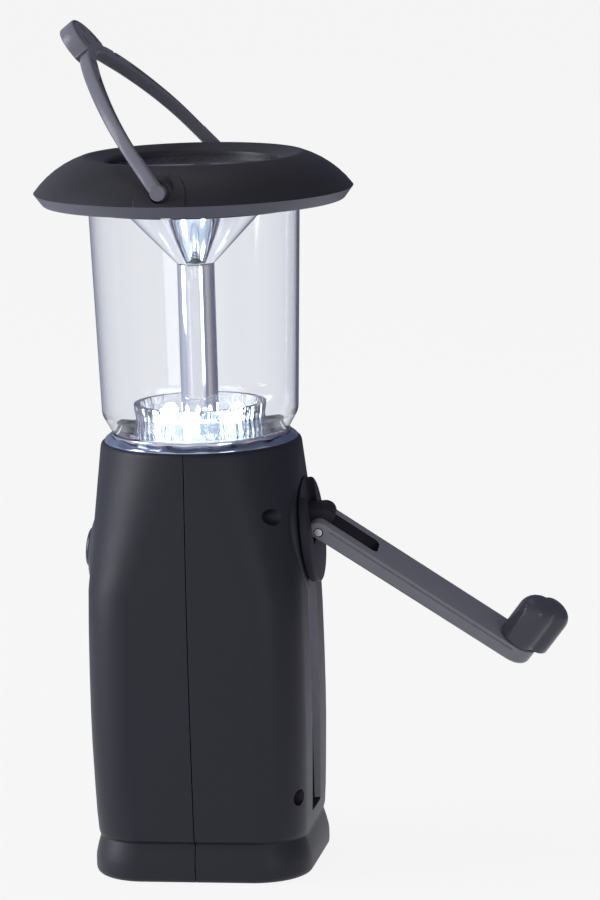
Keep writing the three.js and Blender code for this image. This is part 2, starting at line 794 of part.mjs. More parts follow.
// Crank hub, pin, arm and knob
function hubShape() {
  const disc = rodX(hub_r, gap, gap + hub_disc, 0, 0, round_sides);
  const notch = block(hub_notch_floor, hub_disc + overrun, -hub_notch_half, hub_notch_half, hub_notch_low,
    hub_r + overrun);
  const tongue = solid(prismY([
    [gap, pin_up - tongue_round],
    ...arc(pin_out, pin_up, tongue_round, -Math.PI / 2, 0),
    [tongue_out - overrun, pin_up + tongue_step / 2],
    [tongue_out, tongue_step],
    ...arc(tongue_out - tongue_round, tongue_top - tongue_round, tongue_round, 0, Math.PI / 2),
    [gap, tongue_top],
  ], -tongue_half, tongue_half));
  const shaft = rodX(hub_shaft_r, hub_shaft_end, gap + overrun, 0, 0);
  return cut(join(cut(disc, notch), tongue, shaft),
    rodY(pin_r + gap, -hub_notch_half, hub_notch_half, pin_out, pin_up),
    rodX(small_shank_r + gap, hub_shaft_end - overrun, hub_shaft_end + hood_screw_long, 0, 0, small_sides));
}

function armShape() {
  const side = solid(prismY([
    ...arc(0, 0, arm_above, Math.PI / 2, Math.PI / 2 + Math.PI, 2 * arc_steps)
      .filter(([, z]) => z > -arm_above),
    [arm_below, -arm_below],
    [arm_tip - arm_tip_round, -arm_below],
    [arm_tip, -arm_below + arm_tip_round],
    [arm_tip, arm_above],
  ], -arm_half, arm_half));
  const tip = arc(arm_tip - arm_half, 0, arm_half, -Math.PI / 2, Math.PI / 2, 2 * arc_steps);
  const plan = solid(prism([[-arm_above - overrun, arm_half], [-arm_above - overrun, -arm_half], ...tip],
    -arm_above - overrun, arm_above + overrun));
  const slot = block(-arm_above - overrun, arm_slot, -tongue_half - gap, tongue_half + gap,
    -arm_above - overrun, arm_above + overrun);
  const groove = (side_sign) => {
    const ends = [side_sign * (arm_half - arm_groove), side_sign * (arm_half + overrun)];
    const [y0, y1] = ends.sort((a, b) => a - b);
    return block(arm_groove_start, arm_tip - arm_half, y0, y1, arm_above - arm_groove_drop - arm_groove,
      arm_above - arm_groove_drop);
  };
  return cut(side.intersect(plan), slot, groove(1), groove(-1),
    rodY(pin_r + gap, -arm_half - overrun, arm_half + overrun),
    rodZ(rivet_neck_r + gap, -arm_below - overrun, arm_above + overrun, knob_reach, 0),
    rodZ(rivet_head_r + gap, -arm_below - overrun, -arm_below + rivet_head_h + gap, knob_reach, 0));
}

function knobShape() {
  const straight = knob_tall - knob_dome;
  const half = [[0, 0], [knob_lobe_r - arm_groove, 0], [knob_lobe_r, arm_groove], [knob_lobe_r, straight],
    ...arc(0, 0, 1, 0, Math.PI / 2).slice(1, -1)
      .map(([x, z]) => [knob_lobe_r * x, straight + knob_dome * z]), [0, knob_tall]];
  const lobe = (shift) => solid(turned(half, 2 * small_sides).translate(shift, 0, 0));
  return cut(join(lobe(-knob_lobe_shift), lobe(knob_lobe_shift)),
    rodZ(knob_bore_r, -overrun, knob_cavity, 0, 0),
    rodZ(knob_catch_r, knob_catch_z - gap, knob_catch_z + knob_catch_h + gap, 0, 0));
}

function rivetShape() {
  const shoulder = arm_above + gap;
  const top = shoulder + knob_catch_z + knob_catch_h;
  return turned([[0, -arm_below], [rivet_head_r, -arm_below], [rivet_head_r, -arm_below + rivet_head_h],
    [rivet_neck_r, -arm_below + rivet_head_h], [rivet_neck_r, shoulder], [rivet_r, shoulder],
    [rivet_r, shoulder + knob_catch_z], [rivet_catch_r, shoulder + knob_catch_z],
    [rivet_r, top], [0, top]], hole_sides);
}

function crank() {
  const hubFrame = new THREE.Group();
  hubFrame.position.set(hub_x, 0, hub_z);
  hubFrame.rotation.y = -hub_tilt;
  const spin = new THREE.Group();
  spin.rotation.x = hub_turn;
  hubFrame.add(spin);
  spin.add(piece('crank_hub', hubShape(), materials.crank));
  const screwLong = small_head_h + hood_screw_long - overrun;
  const hubScrew = piece('hub_screw', screwShape(drive_hub_r, small_head_h, small_shank_r, screwLong),
    materials.steel);
  hubScrew.rotation.y = Math.PI;
  hubScrew.position.x = hub_shaft_end - gap - small_head_h;
  spin.add(hubScrew);
  spin.add(piece('drive_gear', gearShape(drive_teeth, drive_out - drive_wide, drive_out, hub_shaft_r + gap,
    -Math.PI / 2 - hub_turn),
    materials.gear));
  const arm = new THREE.Group();
  arm.position.set(pin_out, 0, pin_up);
  spin.add(arm);
  arm.rotation.y = arm_fold;
  arm.add(piece('hinge_pin', rodY(pin_r, -arm_half + gap / 2, arm_half - gap / 2), materials.steel));
  arm.add(piece('crank_arm', armShape(), materials.crank));
  const rivet = piece('knob_rivet', rivetShape(), materials.steel);
  rivet.position.x = knob_reach;
  arm.add(rivet);
  const knob = piece('knob', knobShape(), materials.crank);
  knob.position.set(knob_reach, 0, arm_above + gap);
  knob.rotation.z = knob_turn;
  arm.add(knob);
  return hubFrame;
}

// Gearbox plate, idler and generator, all in the hub's frame
function plateShape() {
  const edge = [[-plate_half, plate_low], [plate_half, plate_low], [plate_half, plate_top],
    [-plate_half, plate_top]];
  const plate = solid(prismX(edge.flatMap(([y, z]) => {
    const sy = Math.sign(y);
    const sz = z > plate_low ? 1 : -1;
    const corner = [[y - sy * plate_corner, z], [y, z - sz * plate_corner]];
    return sy * sz > 0 ? corner.reverse() : corner;
  }), plate_out - plate_thick, plate_out));
  const through = (r, y, z) => rodX(r, plate_out - plate_thick - overrun, plate_out + overrun, y, z);
  return cut(plate,
    through(hub_shaft_r + gap, 0, 0),
    through(idler_axle_r + gap, 0, -idlerDrop),
    through(can_nose_r + gap, 0, -generatorDrop),
    ...postPlaces().map(([y, z]) => through(small_shank_r + gap, y, z)));
}

function idlerShape() {
  const pinion = gearShape(pinion_teeth, idler_step - gap / 2, idler_pinion_out, 0, Math.PI / pinion_teeth);
  const wheel = gearShape(idler_teeth, idler_step - idler_wide, idler_step, 0);
  return cut(join(pinion, wheel), rodX(idler_axle_r + gap, plate_out, 0));
}

function canShape() {
  const front = plate_out - plate_thick - gap;
  const back = front - can_long;
  return turnedX([
    [rotor_shaft_r + gap, front + can_nose], [can_nose_r, front + can_nose], [can_nose_r, front],
    [can_r, front],
    [can_r, back], [can_r - can_wall, back], [can_r - can_wall, front - can_wall],
    [rotor_shaft_r + gap, front - can_wall],
  ], round_sides);
}

function gearbox() {
  const frame = new THREE.Group();
  frame.position.set(hub_x, 0, hub_z);
  frame.rotation.y = -hub_tilt;
  frame.add(piece('gearbox_plate', plateShape(), materials.steel));
  postPlaces().forEach(([y, z], i) => {
    const screw = piece(`plate_screw_${i + 1}`,
      screwShape(small_head_r, small_head_h, small_shank_r, small_head_h + hood_screw_long - overrun),
      materials.steel);
    screw.rotation.y = Math.PI;
    screw.position.set(plate_out - plate_thick - gap - small_head_h, y, z);
    frame.add(screw);
  });
  const axle = rodX(idler_axle_r, plate_out - plate_thick, idler_socket_end - gap, 0, -idlerDrop);
  frame.add(piece('idler_axle', axle, materials.steel));
  const idler = piece('idler_gear', idlerShape(), materials.gear);
  idler.position.z = -idlerDrop;
  frame.add(idler);

  const generator = new THREE.Group();
  generator.position.z = -generatorDrop;
  frame.add(generator);
  const front = plate_out - plate_thick - gap;
  const back = front - can_long;
  generator.add(piece('generator_can', canShape(), materials.steel));
  generator.add(piece('generator_magnet', turnedX([
    [magnet_r, front - magnet_inset], [can_r - can_wall - gap, front - magnet_inset],
    [can_r - can_wall - gap, back + magnet_inset], [magnet_r, back + magnet_inset],
  ], round_sides / 2), materials.magnet));
  generator.add(piece('generator_cap', turnedX([
    [rotor_shaft_r + gap, back - gap], [can_r, back - gap], [can_r, back - gap - cap_thick],
    [rotor_shaft_r + gap, back - gap - cap_thick],
  ], round_sides), materials.body));
  generator.add(piece('generator_rotor', turnedX([
    [0, generator_pinion_out], [rotor_shaft_r, generator_pinion_out], [rotor_shaft_r, front - core_inset],
    [core_r, front - core_inset], [core_r, back + core_inset], [rotor_shaft_r, back + core_inset],
    [rotor_shaft_r, back - gap - cap_thick], [0, back - gap - cap_thick],
  ], hole_sides), materials.magnet));
  const pinion = gearShape(pinion_teeth, generator_pinion_out - generator_pinion_wide, generator_pinion_out,
    rotor_shaft_r + gap, Math.PI / pinion_teeth);
  generator.add(piece('generator_pinion', pinion, materials.gear));
  return frame;
}

// Lamp
function trayShape() {
  const low = tray_floor_z - tray_floor;
  const deck = body_top_z + gap;
  const flangeTop = body_top_z - wall - gap;
  return turned([
    [tray_wire_r, low], [tray_wire_r, tray_floor_z], [dish_r, tray_floor_z], [dish_r, deck + tray_lip],
    [tray_lip_r, tray_lip_z], [tray_lip_r, tray_lip_z - tray_lip], [globe_low_r - tray_lip, deck],
    [tray_neck_r, deck], [tray_neck_r, flangeTop], [tray_flange_r, flangeTop],
    [tray_flange_r, flangeTop - tray_flange], [dish_r, flangeTop - tray_flange], [dish_r, low],
  ]);
}

function lampShape() {
  return turned([[0, 0], [lamp_rim_r, 0], [lamp_rim_r, lamp_rim_h], [lamp_r, lamp_rim_h],
    [lamp_r, lamp_tall - lamp_r],
    ...arc(0, lamp_tall - lamp_r, lamp_r, 0, Math.PI / 2, lamp_steps).slice(1, -1),
    [0, lamp_tall]], small_sides);
}

function globeShape() {
  return turned([
    [globe_low_r, globe_low_z], [globe_waist_r, globe_waist_z], [globe_top_r, globe_top_z],
    [globe_top_r - globe_wall, globe_top_z], [globe_waist_r - globe_wall, globe_waist_z + globe_wall / 2],
    [globe_low_r - globe_wall, globe_low_z + globe_wall / 2], [globe_low_r - globe_wall, globe_low_z],
  ]);
}

function lamp() {
  const group = new THREE.Group();
  group.add(piece('lamp_tray', trayShape(), materials.dish));
  const board_z = tray_floor_z + gap;
  const board = cut(rodZ(board_r, board_z, board_z + board_thick, 0, 0, round_sides),
    rodZ(post_r + gap, board_z - overrun, board_z + board_thick + overrun, 0, 0, 2 * small_sides));
  group.add(piece('lamp_board', board, materials.board));
  for (let i = 0; i < lamp_count; i += 1) {
    const angle = (Math.PI * (2 * i + 1)) / lamp_count;
    const lampPiece = piece(`lamp_${i + 1}`, lampShape(), materials.lamp);
    lampPiece.position.set(lamp_ring_r * Math.cos(angle), lamp_ring_r * Math.sin(angle),
      board_z + board_thick + gap);
    group.add(lampPiece);
  }
  const lens = new THREE.LatheGeometry([
    [lens_low_r - lens_wall, lens_low_z], [lens_low_r, lens_low_z], [lens_high_r, lens_high_z],
    [lens_high_r - lens_wall, lens_high_z], [lens_low_r - lens_wall, lens_low_z],
  ].map(([r, z]) => new THREE.Vector2(r, z)), lens_sides).rotateX(Math.PI / 2);
  group.add(piece('lens_ring', lens, materials.clear));
  group.add(piece('center_post', turned([
    [post_r - post_wall, board_z], [post_r, board_z], [post_r, post_top_z], [post_r - post_wall, post_top_z],
  ], 2 * small_sides), materials.chrome));
  group.add(piece('globe', globeShape(), materials.clear));
  return group;
}

// Upper reflector, hood and bail
function reflectorShape() {
  const low = post_top_z + gap;
  const flangeLow = cone_high_z;
  const flangeHigh = globe_top_z;
  return turned([
    [spigot_bore, low - spigot_long], [spigot_r, low - spigot_long], [spigot_r, low], [cone_low_r, low],
    [cone_high_r, flangeLow], [cone_flange_r, flangeLow], [cone_flange_r, flangeHigh],
    [cone_high_r - cone_skin / 2, flangeHigh], [spigot_bore + cone_skin, low + cone_skin], [spigot_bore, low],
  ]);
}

function bossPlaces() {
  return Array.from({ length: hood_boss_count }, (_, i) => {
    const angle = hood_boss_start + (2 * Math.PI * i) / hood_boss_count;
    return [hood_boss_ring * Math.cos(angle), hood_boss_ring * Math.sin(angle)];
  });
}

// Angle at which an arc of radius r about the dome's centre comes over the crest
const seatAngle = (r) => Math.acos((hood_crest_r - hood_arc_x) / r);

function domeProfile(inset, to, steps) {
  const rimAngle = Math.atan2(hood_rim_z - hood_arc_z, hood_rim_r - hood_arc_x);
  return arc(hood_arc_x, hood_arc_z, hood_arc_r - inset, rimAngle, to, steps);
}

function hoodShape() {
  const crest = hood_arc_z + hood_arc_r;
  const lipAngle = seatAngle(hood_arc_r - hood_lip_round);
  const lipZ = hood_arc_z + (hood_arc_r - hood_lip_round) * Math.sin(lipAngle);
  const lip = arc(hood_crest_r, lipZ, hood_lip_round, lipAngle, Math.PI / 2 + hood_lip_slope, lip_steps);
  const [slope_r, slope_z] = lip[lip.length - 1];
  const slopeAt = (r) => slope_z - (slope_r - r) * Math.tan(hood_lip_slope);
  const outer = solid(turned([[0, hood_band_z], [hood_band_r, hood_band_z],
    ...domeProfile(0, lipAngle, dome_steps),
    ...lip.slice(1),
    [hood_lip_r + hood_lip_edge, slopeAt(hood_lip_r + hood_lip_edge)],
    [hood_lip_r, slopeAt(hood_lip_r + hood_lip_edge) - hood_lip_edge],
    [hood_lip_r, well_floor_z], [0, well_floor_z]], hood_sides));
  const full = solid(turned([[0, hood_band_z], [hood_band_r, hood_band_z],
    ...domeProfile(0, lipAngle, dome_steps), [0, crest]], hood_sides));
  const under = well_floor_z - well_floor;
  const inner_r = hood_band_r - hood_skin;
  const inner = solid(turned([[0, hood_band_z - overrun], [inner_r, hood_band_z - overrun],
    [inner_r, hood_band_z],
    ...domeProfile(hood_skin, seatAngle(hood_arc_r - hood_skin), arc_steps),
    [hood_lip_r + hood_skin, slopeAt(hood_lip_r) - hood_skin], [hood_lip_r + hood_skin, under], [0, under]],
  hood_sides));
  const plateTop = hood_band_z + gap + under_plate + gap;
  const bosses = bossPlaces().map(([x, y]) => rodZ(hood_boss_r, plateTop, crest, x, y).intersect(full));
  const above = block(-hood_rim_r, hood_rim_r, -hood_rim_r, hood_rim_r, plateTop, crest + overrun);
  const ears = [-1, 1].flatMap((side) => {
    const [y0, y1] = [side * ear_back, side * (ear_face + overrun)].sort((a, b) => a - b);
    const ear = turned([[0, ear_back - overrun], [ear_r, ear_back - overrun], [ear_r, ear_edge],
      [ear_face_r, ear_face], [0, ear_face]], hole_sides * 2);
    const backing = rodY(ear_backing_r, y0, y1, 0, pivot_z, 2 * small_sides);
    const boss = solid(ear.rotateX((-side * Math.PI) / 2).translate(0, 0, pivot_z));
    return [backing.intersect(full).intersect(above), boss.intersect(above)];
  });
  let hood = join(cut(outer, inner), ...bosses, ...ears);
  for (const side of [-1, 1]) {
    const [r0, r1] = [side * (ear_back - 2 * retainer_thick), side * ear_back].sort((a, b) => a - b);
    const [h0, h1] = [side * (ear_back - overrun), side * hood_rim_r].sort((a, b) => a - b);
    const [f0, f1] = [side * ear_face, side * (hood_rim_r + overrun)].sort((a, b) => a - b);
    hood = cut(hood, rodY(retainer_r + gap, r0, r1, 0, pivot_z), rodY(bail_pin_r + gap, h0, h1, 0, pivot_z),
      rodY(ear_spot_r, f0, f1, 0, pivot_z));
  }
  const holeTop = plateTop + hood_screw_long - under_plate;
  const holes = bossPlaces().map(([x, y]) => (
    rodZ(small_shank_r + gap, plateTop - overrun, holeTop, x, y, small_sides)));
  const leadHole = rodZ(lead_r + gap, under - overrun, well_floor_z + overrun, 0, 0, small_sides);
  return cut(hood, ...holes, leadHole);
}

function underPlateShape() {
  const low = hood_band_z + gap;
  const plate = solid(turned([
    [under_bore_r, low], [globe_top_r + gap, low], [globe_top_r + gap, low - globe_collar],
    [globe_collar_r, low - globe_collar], [globe_collar_r + gap, low], [plate_r, low],
    [plate_r, low + under_plate], [under_bore_r, low + under_plate],
  ], hood_sides));
  return cut(plate, ...bossPlaces().map(([x, y]) => (
    rodZ(small_shank_r + gap, low - overrun, low + under_plate + overrun, x, y, small_sides))));
}

const mirrored = (points) => points.map(([y, z]) => [-y, z]).reverse();
const between = (a, b, share) => a.map((value, i) => value + (b[i] - value) * share);

const sized = (shares) => shares.map((pair) => pair.map((share) => share * bail_half));

function bailShape() {
  const half = bail_thick / 2;
  const outer = sized(bail_outer_shares);
  const inner = sized(bail_inner_shares);
  const leg = [...outer, ...[...inner].reverse()];
  const crown = [...arc(0, grip_centre_share * bail_half, grip_r, 0, Math.PI, 2 * arc_steps),
    ...mirrored(outer).slice(0, 1), ...mirrored(inner).slice(0, 2).reverse(),
    ...inner.slice(-2, -1), ...outer.slice(-1)];
  const parts = [leg, mirrored(leg)].map((points) => solid(prismX(points, -half, half)));
  parts.push(solid(prismX(crown, -grip_back, grip_front)));
  for (const side of [-1, 1]) {
    const [y0, y1] = [side * inner[0][0], side * outer[0][0]].sort((a, b) => a - b);
    parts.push(rodY(bail_end_r, y0, y1, 0, 0, 2 * small_sides));
    const [p0, p1] = [side * bail_pin_end, side * outer[0][0]].sort((a, b) => a - b);
    parts.push(rodY(bail_pin_r, p0, p1, 0, 0));
  }
  const [near, far] = channel_shares;
  const rows = outer.slice(channel_from, channel_to).map((point, i) => [point, inner[i + channel_from]]);
  const line = (share) => rows.map(([a, b]) => between(a, b, share));
  const channel = [...line(near), ...line(far).reverse()];
  const slots = grip_slots.flatMap(([y0, y1]) => [[y0, y1], [-y1, -y0]]);
  const grooves = [channel, mirrored(channel)].map((points) => (
    solid(prismX(points, half - channel_deep_in_leg, half + overrun))));
  const pockets = slots.map(([y0, y1]) => (
    block(grip_front - grip_pocket, grip_front + overrun, y0, y1, grip_slot_low, grip_slot_high)));
  return cut(join(...parts), ...grooves, ...pockets);
}

function hood() {
  const group = new THREE.Group();
  group.rotation.z = hood_turn;
  group.add(piece('hood_shell', hoodShape(), materials.hood));
  group.add(piece('hood_under_plate', underPlateShape(), materials.hood));
  group.add(piece('upper_reflector', reflectorShape(), materials.chrome));
  const panel_z = well_floor_z + gap;
  const disc = (low, thick) => rodZ(panel_r, low, low + thick, 0, 0, round_sides);
  group.add(piece('solar_panel', disc(panel_z, panel_thick), materials.solar));
  const window_z = panel_z + panel_thick + gap;
  group.add(piece('solar_window', disc(window_z, window_thick), materials.clear));
  bossPlaces().forEach(([x, y], i) => {
    const z = hood_band_z - small_head_h;
    group.add(placedScrew(`hood_screw_${i + 1}`, small_head_h + hood_screw_long, x, y, z, true));
  });
  const bail = new THREE.Group();
  bail.position.z = pivot_z;
  bail.rotation.y = bail_lean;
  bail.add(piece('bail_handle', bailShape(), materials.crank));
  group.add(bail);
  ['front', 'rear'].forEach((name, i) => {
    const side = i === 0 ? -1 : 1;
    const high = ear_back - gap;
    const [y0, y1] = [side * (high - retainer_thick), side * high].sort((a, b) => a - b);
    const bore = rodY(bail_pin_r + gap, y0 - overrun, y1 + overrun, 0, 0);
    const ring = cut(rodY(retainer_r, y0, y1, 0, 0), bore);
    bail.add(piece(`bail_retainer_${name}`, ring, materials.steel));
  });
  return group;
}

// Power button, board, switch, battery and leads
function buttonShape() {
  const seat = bezel_neck + gap;
  const plunger = board_x - gap - switch_tall - switch_plunger - button_x;
  const stem = plunger - button_travel - gap;
  return turnedX([
    [0, -button_out], [button_r - button_dome, -button_out], [button_r, button_dome - button_out],
    [button_r, seat], [button_flange_r, seat], [button_flange_r, seat + button_flange],
    [button_stem_r, seat + button_flange], [button_stem_r, stem], [0, stem],
  ], 2 * small_sides);
}

function bezelShape() {
  return turnedX([
    [button_r + gap, -bezel_out], [bezel_step_r, -bezel_out],
    [bezel_step_r + bezel_step, bezel_step - bezel_out],
    [bezel_r - gap - bezel_step, bezel_step - bezel_out], [bezel_r - gap, 2 * bezel_step - bezel_out],
    [bezel_r - gap, -gap], [bezel_neck_r, -gap], [bezel_neck_r, bezel_neck], [button_r + gap, bezel_neck],
  ], 2 * small_sides);
}

function electronics() {
  const group = new THREE.Group();
  const buttonFrame = new THREE.Group();
  buttonFrame.position.set(button_x, 0, button_z);
  buttonFrame.rotation.y = button_tilt;
  buttonFrame.add(piece('power_button', buttonShape(), materials.crank));
  buttonFrame.add(piece('button_bezel', bezelShape(), materials.crank));
  group.add(buttonFrame);
  group.add(piece('control_board', block(board_x, board_x + pcb_thick, -pcb_half, pcb_half, pcb_low_z + gap,
    pcb_high_z), materials.board));
  const switchBack = board_x - gap;
  const switchShape = join(
    block(switchBack - switch_tall, switchBack, -switch_half, switch_half, button_z - switch_half,
      button_z + switch_half),
    rodX(switch_plunger_r, switchBack - switch_tall - switch_plunger, switchBack - overrun, 0, button_z));
  group.add(piece('push_switch', switchShape, materials.magnet));
  const capacitor_x = board_x + pcb_thick + gap;
  group.add(piece('filter_capacitor',
    rodX(capacitor_r, capacitor_x, capacitor_x + capacitor_long, capacitor_y, capacitor_z, 2 * small_sides),
    materials.magnet));
  return group;
}

function cellPlaces() {
  return Array.from({ length: cell_count }, (_, i) => (i - (cell_count - 1) / 2) * cell_pitch);
}

function battery() {
  const group = new THREE.Group();
  const low = body_floor_z + body_floor + gap;
  const base = low + cradle_floor + gap;
  const cradle = cut(roundedPlate(cradle_half_x, cradle_half_y, cradle_corner, low, low + cradle_tall)
    .translate([cell_x, 0, 0]), ...cellPlaces().map((y) => (
    rodZ(cell_r + gap, low + cradle_floor, low + cradle_tall + overrun, cell_x, y, 2 * small_sides))));
  group.add(piece('battery_cradle', cradle, materials.body));
  cellPlaces().forEach((y, i) => {
    const shape = turned([[0, 0], [cell_r, 0], [cell_r, cell_long], [cell_nub_r, cell_long],
      [cell_nub_r, cell_long + cell_nub], [0, cell_long + cell_nub]], 2 * small_sides);
    const cell = piece(`battery_cell_${i + 1}`, shape, materials.cell);
    cell.position.set(cell_x, y, base);
    group.add(cell);
  });
  return group;
}

function leadRoute(board_front) {
  const bend_z = tray_floor_z - lead_bend_drop;
  const end_z = pcb_high_z - lead_end_drop;
  return [[0, 0, well_floor_z - overrun / 2], [0, 0, (well_floor_z + post_top_z) / 2],
    [0, 0, (post_top_z + tray_floor_z) / 2], [0, 0, tray_floor_z + tray_floor], [lead_bend_x, 0, bend_z],
    [lead_slack_x, lead_slack_y, end_z + lead_slack_rise], [board_front + lead_r, lead_end_y, end_z]];
}

function leadShape(points) {
  const path = new THREE.CatmullRomCurve3(points.map((point) => new THREE.Vector3(...point)));
  const section = new THREE.Shape();
  section.absarc(0, 0, lead_r, 0, 2 * Math.PI);
  return new THREE.ExtrudeGeometry(section, {
    steps: lead_steps, curveSegments: lead_sides / 2, bevelEnabled: false, extrudePath: path,
  });
}

function leads() {
  const group = new THREE.Group();
  const board_front = board_x + pcb_thick + gap;
  group.add(piece('lamp_lead', leadShape(leadRoute(board_front)), materials.lead));
  return group;
}

const lantern = new THREE.Group();
lantern.add(body(), crank(), gearbox(), lamp(), hood(), electronics(), battery(), leads());
export default lantern;
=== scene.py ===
import math
import bmesh
import bpy
from mathutils import Matrix, Vector


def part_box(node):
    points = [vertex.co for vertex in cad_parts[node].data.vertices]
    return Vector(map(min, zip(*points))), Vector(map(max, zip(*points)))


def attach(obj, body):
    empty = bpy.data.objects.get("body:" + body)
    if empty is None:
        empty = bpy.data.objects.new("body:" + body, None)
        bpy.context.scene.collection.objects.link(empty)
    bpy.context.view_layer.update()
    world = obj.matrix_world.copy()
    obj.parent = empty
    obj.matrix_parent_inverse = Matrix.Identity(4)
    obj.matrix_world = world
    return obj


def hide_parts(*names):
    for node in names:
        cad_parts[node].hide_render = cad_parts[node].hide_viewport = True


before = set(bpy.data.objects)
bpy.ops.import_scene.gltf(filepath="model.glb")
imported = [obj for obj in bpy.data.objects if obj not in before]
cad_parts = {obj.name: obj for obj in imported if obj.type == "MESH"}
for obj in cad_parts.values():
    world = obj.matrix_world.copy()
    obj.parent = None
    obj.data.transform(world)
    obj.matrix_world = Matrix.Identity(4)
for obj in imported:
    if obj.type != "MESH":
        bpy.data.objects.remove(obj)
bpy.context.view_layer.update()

mm = 0.001

# The camera. It stands a metre and a half from the lantern, a little above it and round to its right,
# with the slight tilt that the photograph has.
camera_azimuth = math.radians(10.66)
camera_elevation = math.radians(10.41)
camera_tilt = math.radians(-1.62)
camera_distance = 1500 * mm
camera_right, camera_up = 31.03 * mm, 20.61 * mm
lantern_middle = Vector((0, 0, 110 * mm))
picture_height = 900
focal_pixels = 4751.27
back = Vector((math.sin(camera_azimuth) * math.cos(camera_elevation),
               -math.cos(camera_azimuth) * math.cos(camera_elevation), math.sin(camera_elevation)))
level = Vector((math.cos(camera_azimuth), math.sin(camera_azimuth), 0))
stand = lantern_middle + back * camera_distance
aim = lantern_middle + level * camera_right + back.cross(level) * camera_up
ahead = (aim - stand).normalized()
across = ahead.cross(Vector((0, 0, 1))).normalized()
upward = across.cross(ahead)
tilted = across * math.cos(camera_tilt) + upward * math.sin(camera_tilt)
raised = upward * math.cos(camera_tilt) - across * math.sin(camera_tilt)
lens = bpy.data.cameras.new("camera")
lens.sensor_fit = "VERTICAL"
lens.sensor_height = 36
lens.lens = focal_pixels / picture_height * lens.sensor_height
lens.clip_start, lens.clip_end = 0.05, 60
camera = bpy.data.objects.new("camera", lens)
camera.matrix_world = Matrix.Translation(stand) @ Matrix((tilted, raised, -ahead)).transposed().to_4x4()
bpy.context.scene.collection.objects.link(camera)
bpy.context.scene.camera = camera
bpy.context.scene.view_settings.view_transform = "Standard"


# The floor and the studio. A sheet of pale card lies under the lantern and fills the picture.
# Walls in bands of light and dark stand round it and show in the gloss. Soft lamps stand to its left
# and right and above it.
def empty_material(name):
    """A material with no nodes but its output."""
    material = bpy.data.materials.new(name)
    material.use_nodes = True
    material.node_tree.nodes.clear()
    material.node_tree.nodes.new("ShaderNodeOutputMaterial").name = "output"
    return material


def node(owner, kind, values=None, **settings):
    """A new shader node of that kind in a material, a world or a group. The values go to its inputs, by
    name or number, and the settings are its plain ones, by name."""
    new_node = getattr(owner, "node_tree", owner).nodes.new("ShaderNode" + kind)
    for name, value in settings.items():
        setattr(new_node, name, value)
    for socket, value in (values or {}).items():
        new_node.inputs[socket].default_value = value
    return new_node


def wire(owner, *wires):
    """Joins nodes of a material, a world or a group. A wire is a node or its name, the output it leaves,
    the node or name it goes to, and the input there."""
    tree = getattr(owner, "node_tree", owner)
    for source, output, target, entry in wires:
        source, target = [tree.nodes[end] if isinstance(end, str) else end for end in (source, target)]
        tree.links.new(source.outputs[output], target.inputs[entry])


def new_group(name, inputs, outputs):
    """An empty shader group with these sockets; an input is (name, kind, value), an output (name, kind)."""
    group = bpy.data.node_groups.new(name, "ShaderNodeTree")
    for label, kind, value in inputs:
        group.interface.new_socket(label, in_out="INPUT", socket_type=kind).default_value = value
    for label, kind in outputs:
        group.interface.new_socket(label, in_out="OUTPUT", socket_type=kind)
    group.nodes.new("NodeGroupInput").name = "in"
    group.nodes.new("NodeGroupOutput").name = "out"
    return group


# The walls' colour by the way one looks: 0 is left, a quarter the front, a half right
walls = new_group(
    "studio_walls", [("Direction", "NodeSocketVector", (0, 0, 0))], [("Color", "NodeSocketColor")])
walls_round = node(walls, "TexGradient", gradient_type="RADIAL")
walls_paint = node(walls, "ValToRGB")
walls_bands = [
    (0.0, (0.7, 0.73, 0.85)), (0.05, (0.62, 0.66, 0.78)), (0.09, (0.85, 0.88, 0.95)),
    (0.13, (1.0, 1.0, 1.0)), (0.2, (1.0, 1.0, 1.0)), (0.3, (1.0, 1.0, 1.0)), (0.335, (0.9, 0.92, 0.95)),
    (0.365, (0.75, 0.77, 0.82)), (0.39, (0.3, 0.34, 0.46)), (0.425, (0.26, 0.28, 0.38)),
    (0.45, (0.56, 0.53, 0.56)), (0.5, (0.46, 0.42, 0.44)), (0.55, (0.2, 0.2, 0.28)),
    (0.64, (0.12, 0.12, 0.18)), (0.76, (0.12, 0.12, 0.17)), (0.84, (0.36, 0.38, 0.46)),
    (0.91, (0.5, 0.53, 0.66)), (1.0, (0.7, 0.73, 0.85))]
walls_stops = walls_paint.color_ramp.elements
for at, colour in walls_bands[1:-1]:
    walls_stops.new(at)
for stop, (at, colour) in zip(walls_stops, walls_bands):
    stop.position = at
    stop.color = (*colour, 1)
wire(walls,
     ("in", "Direction", walls_round, "Vector"),
     (walls_round, "Fac", walls_paint, "Fac"),
     (walls_paint, "Color", "out", "Color"))

floor_half = 9.0
gleam_near, gleam_far = 0.25, 0.6
paper_white = 0.921
card_share, card_matt_seen = 0.93, 0.46
card_white = (paper_white - (1 - card_share) * card_matt_seen) / card_share
floor_bm = bmesh.new()
bmesh.ops.create_grid(floor_bm, x_segments=4, y_segments=4, size=floor_half)
floor_mesh = bpy.data.meshes.new("floor")
floor_bm.to_mesh(floor_mesh)
floor_bm.free()
floor = bpy.data.objects.new("floor", floor_mesh)
bpy.context.scene.collection.objects.link(floor)
floor_card = empty_material("floor_card")
card_matt = node(floor_card, "BsdfDiffuse", {"Color": (0.8, 0.8, 0.8, 1)})
card_glow = node(floor_card, "Emission", {"Color": (card_white, card_white, card_white, 1)})
card_path = node(floor_card, "LightPath")
card_seen = node(floor_card, "Math", operation="MAXIMUM")
card_turned = node(floor_card, "Math", {1: 0.5}, operation="GREATER_THAN")
card_scattered = node(floor_card, "Math", operation="SUBTRACT")
card_mirrored = node(floor_card, "Math", {1: 0}, operation="MAXIMUM")
card_part = node(floor_card, "Math", {1: card_share}, operation="MULTIPLY")
card_mix = node(floor_card, "MixShader")
card_place = node(floor_card, "TexCoord")
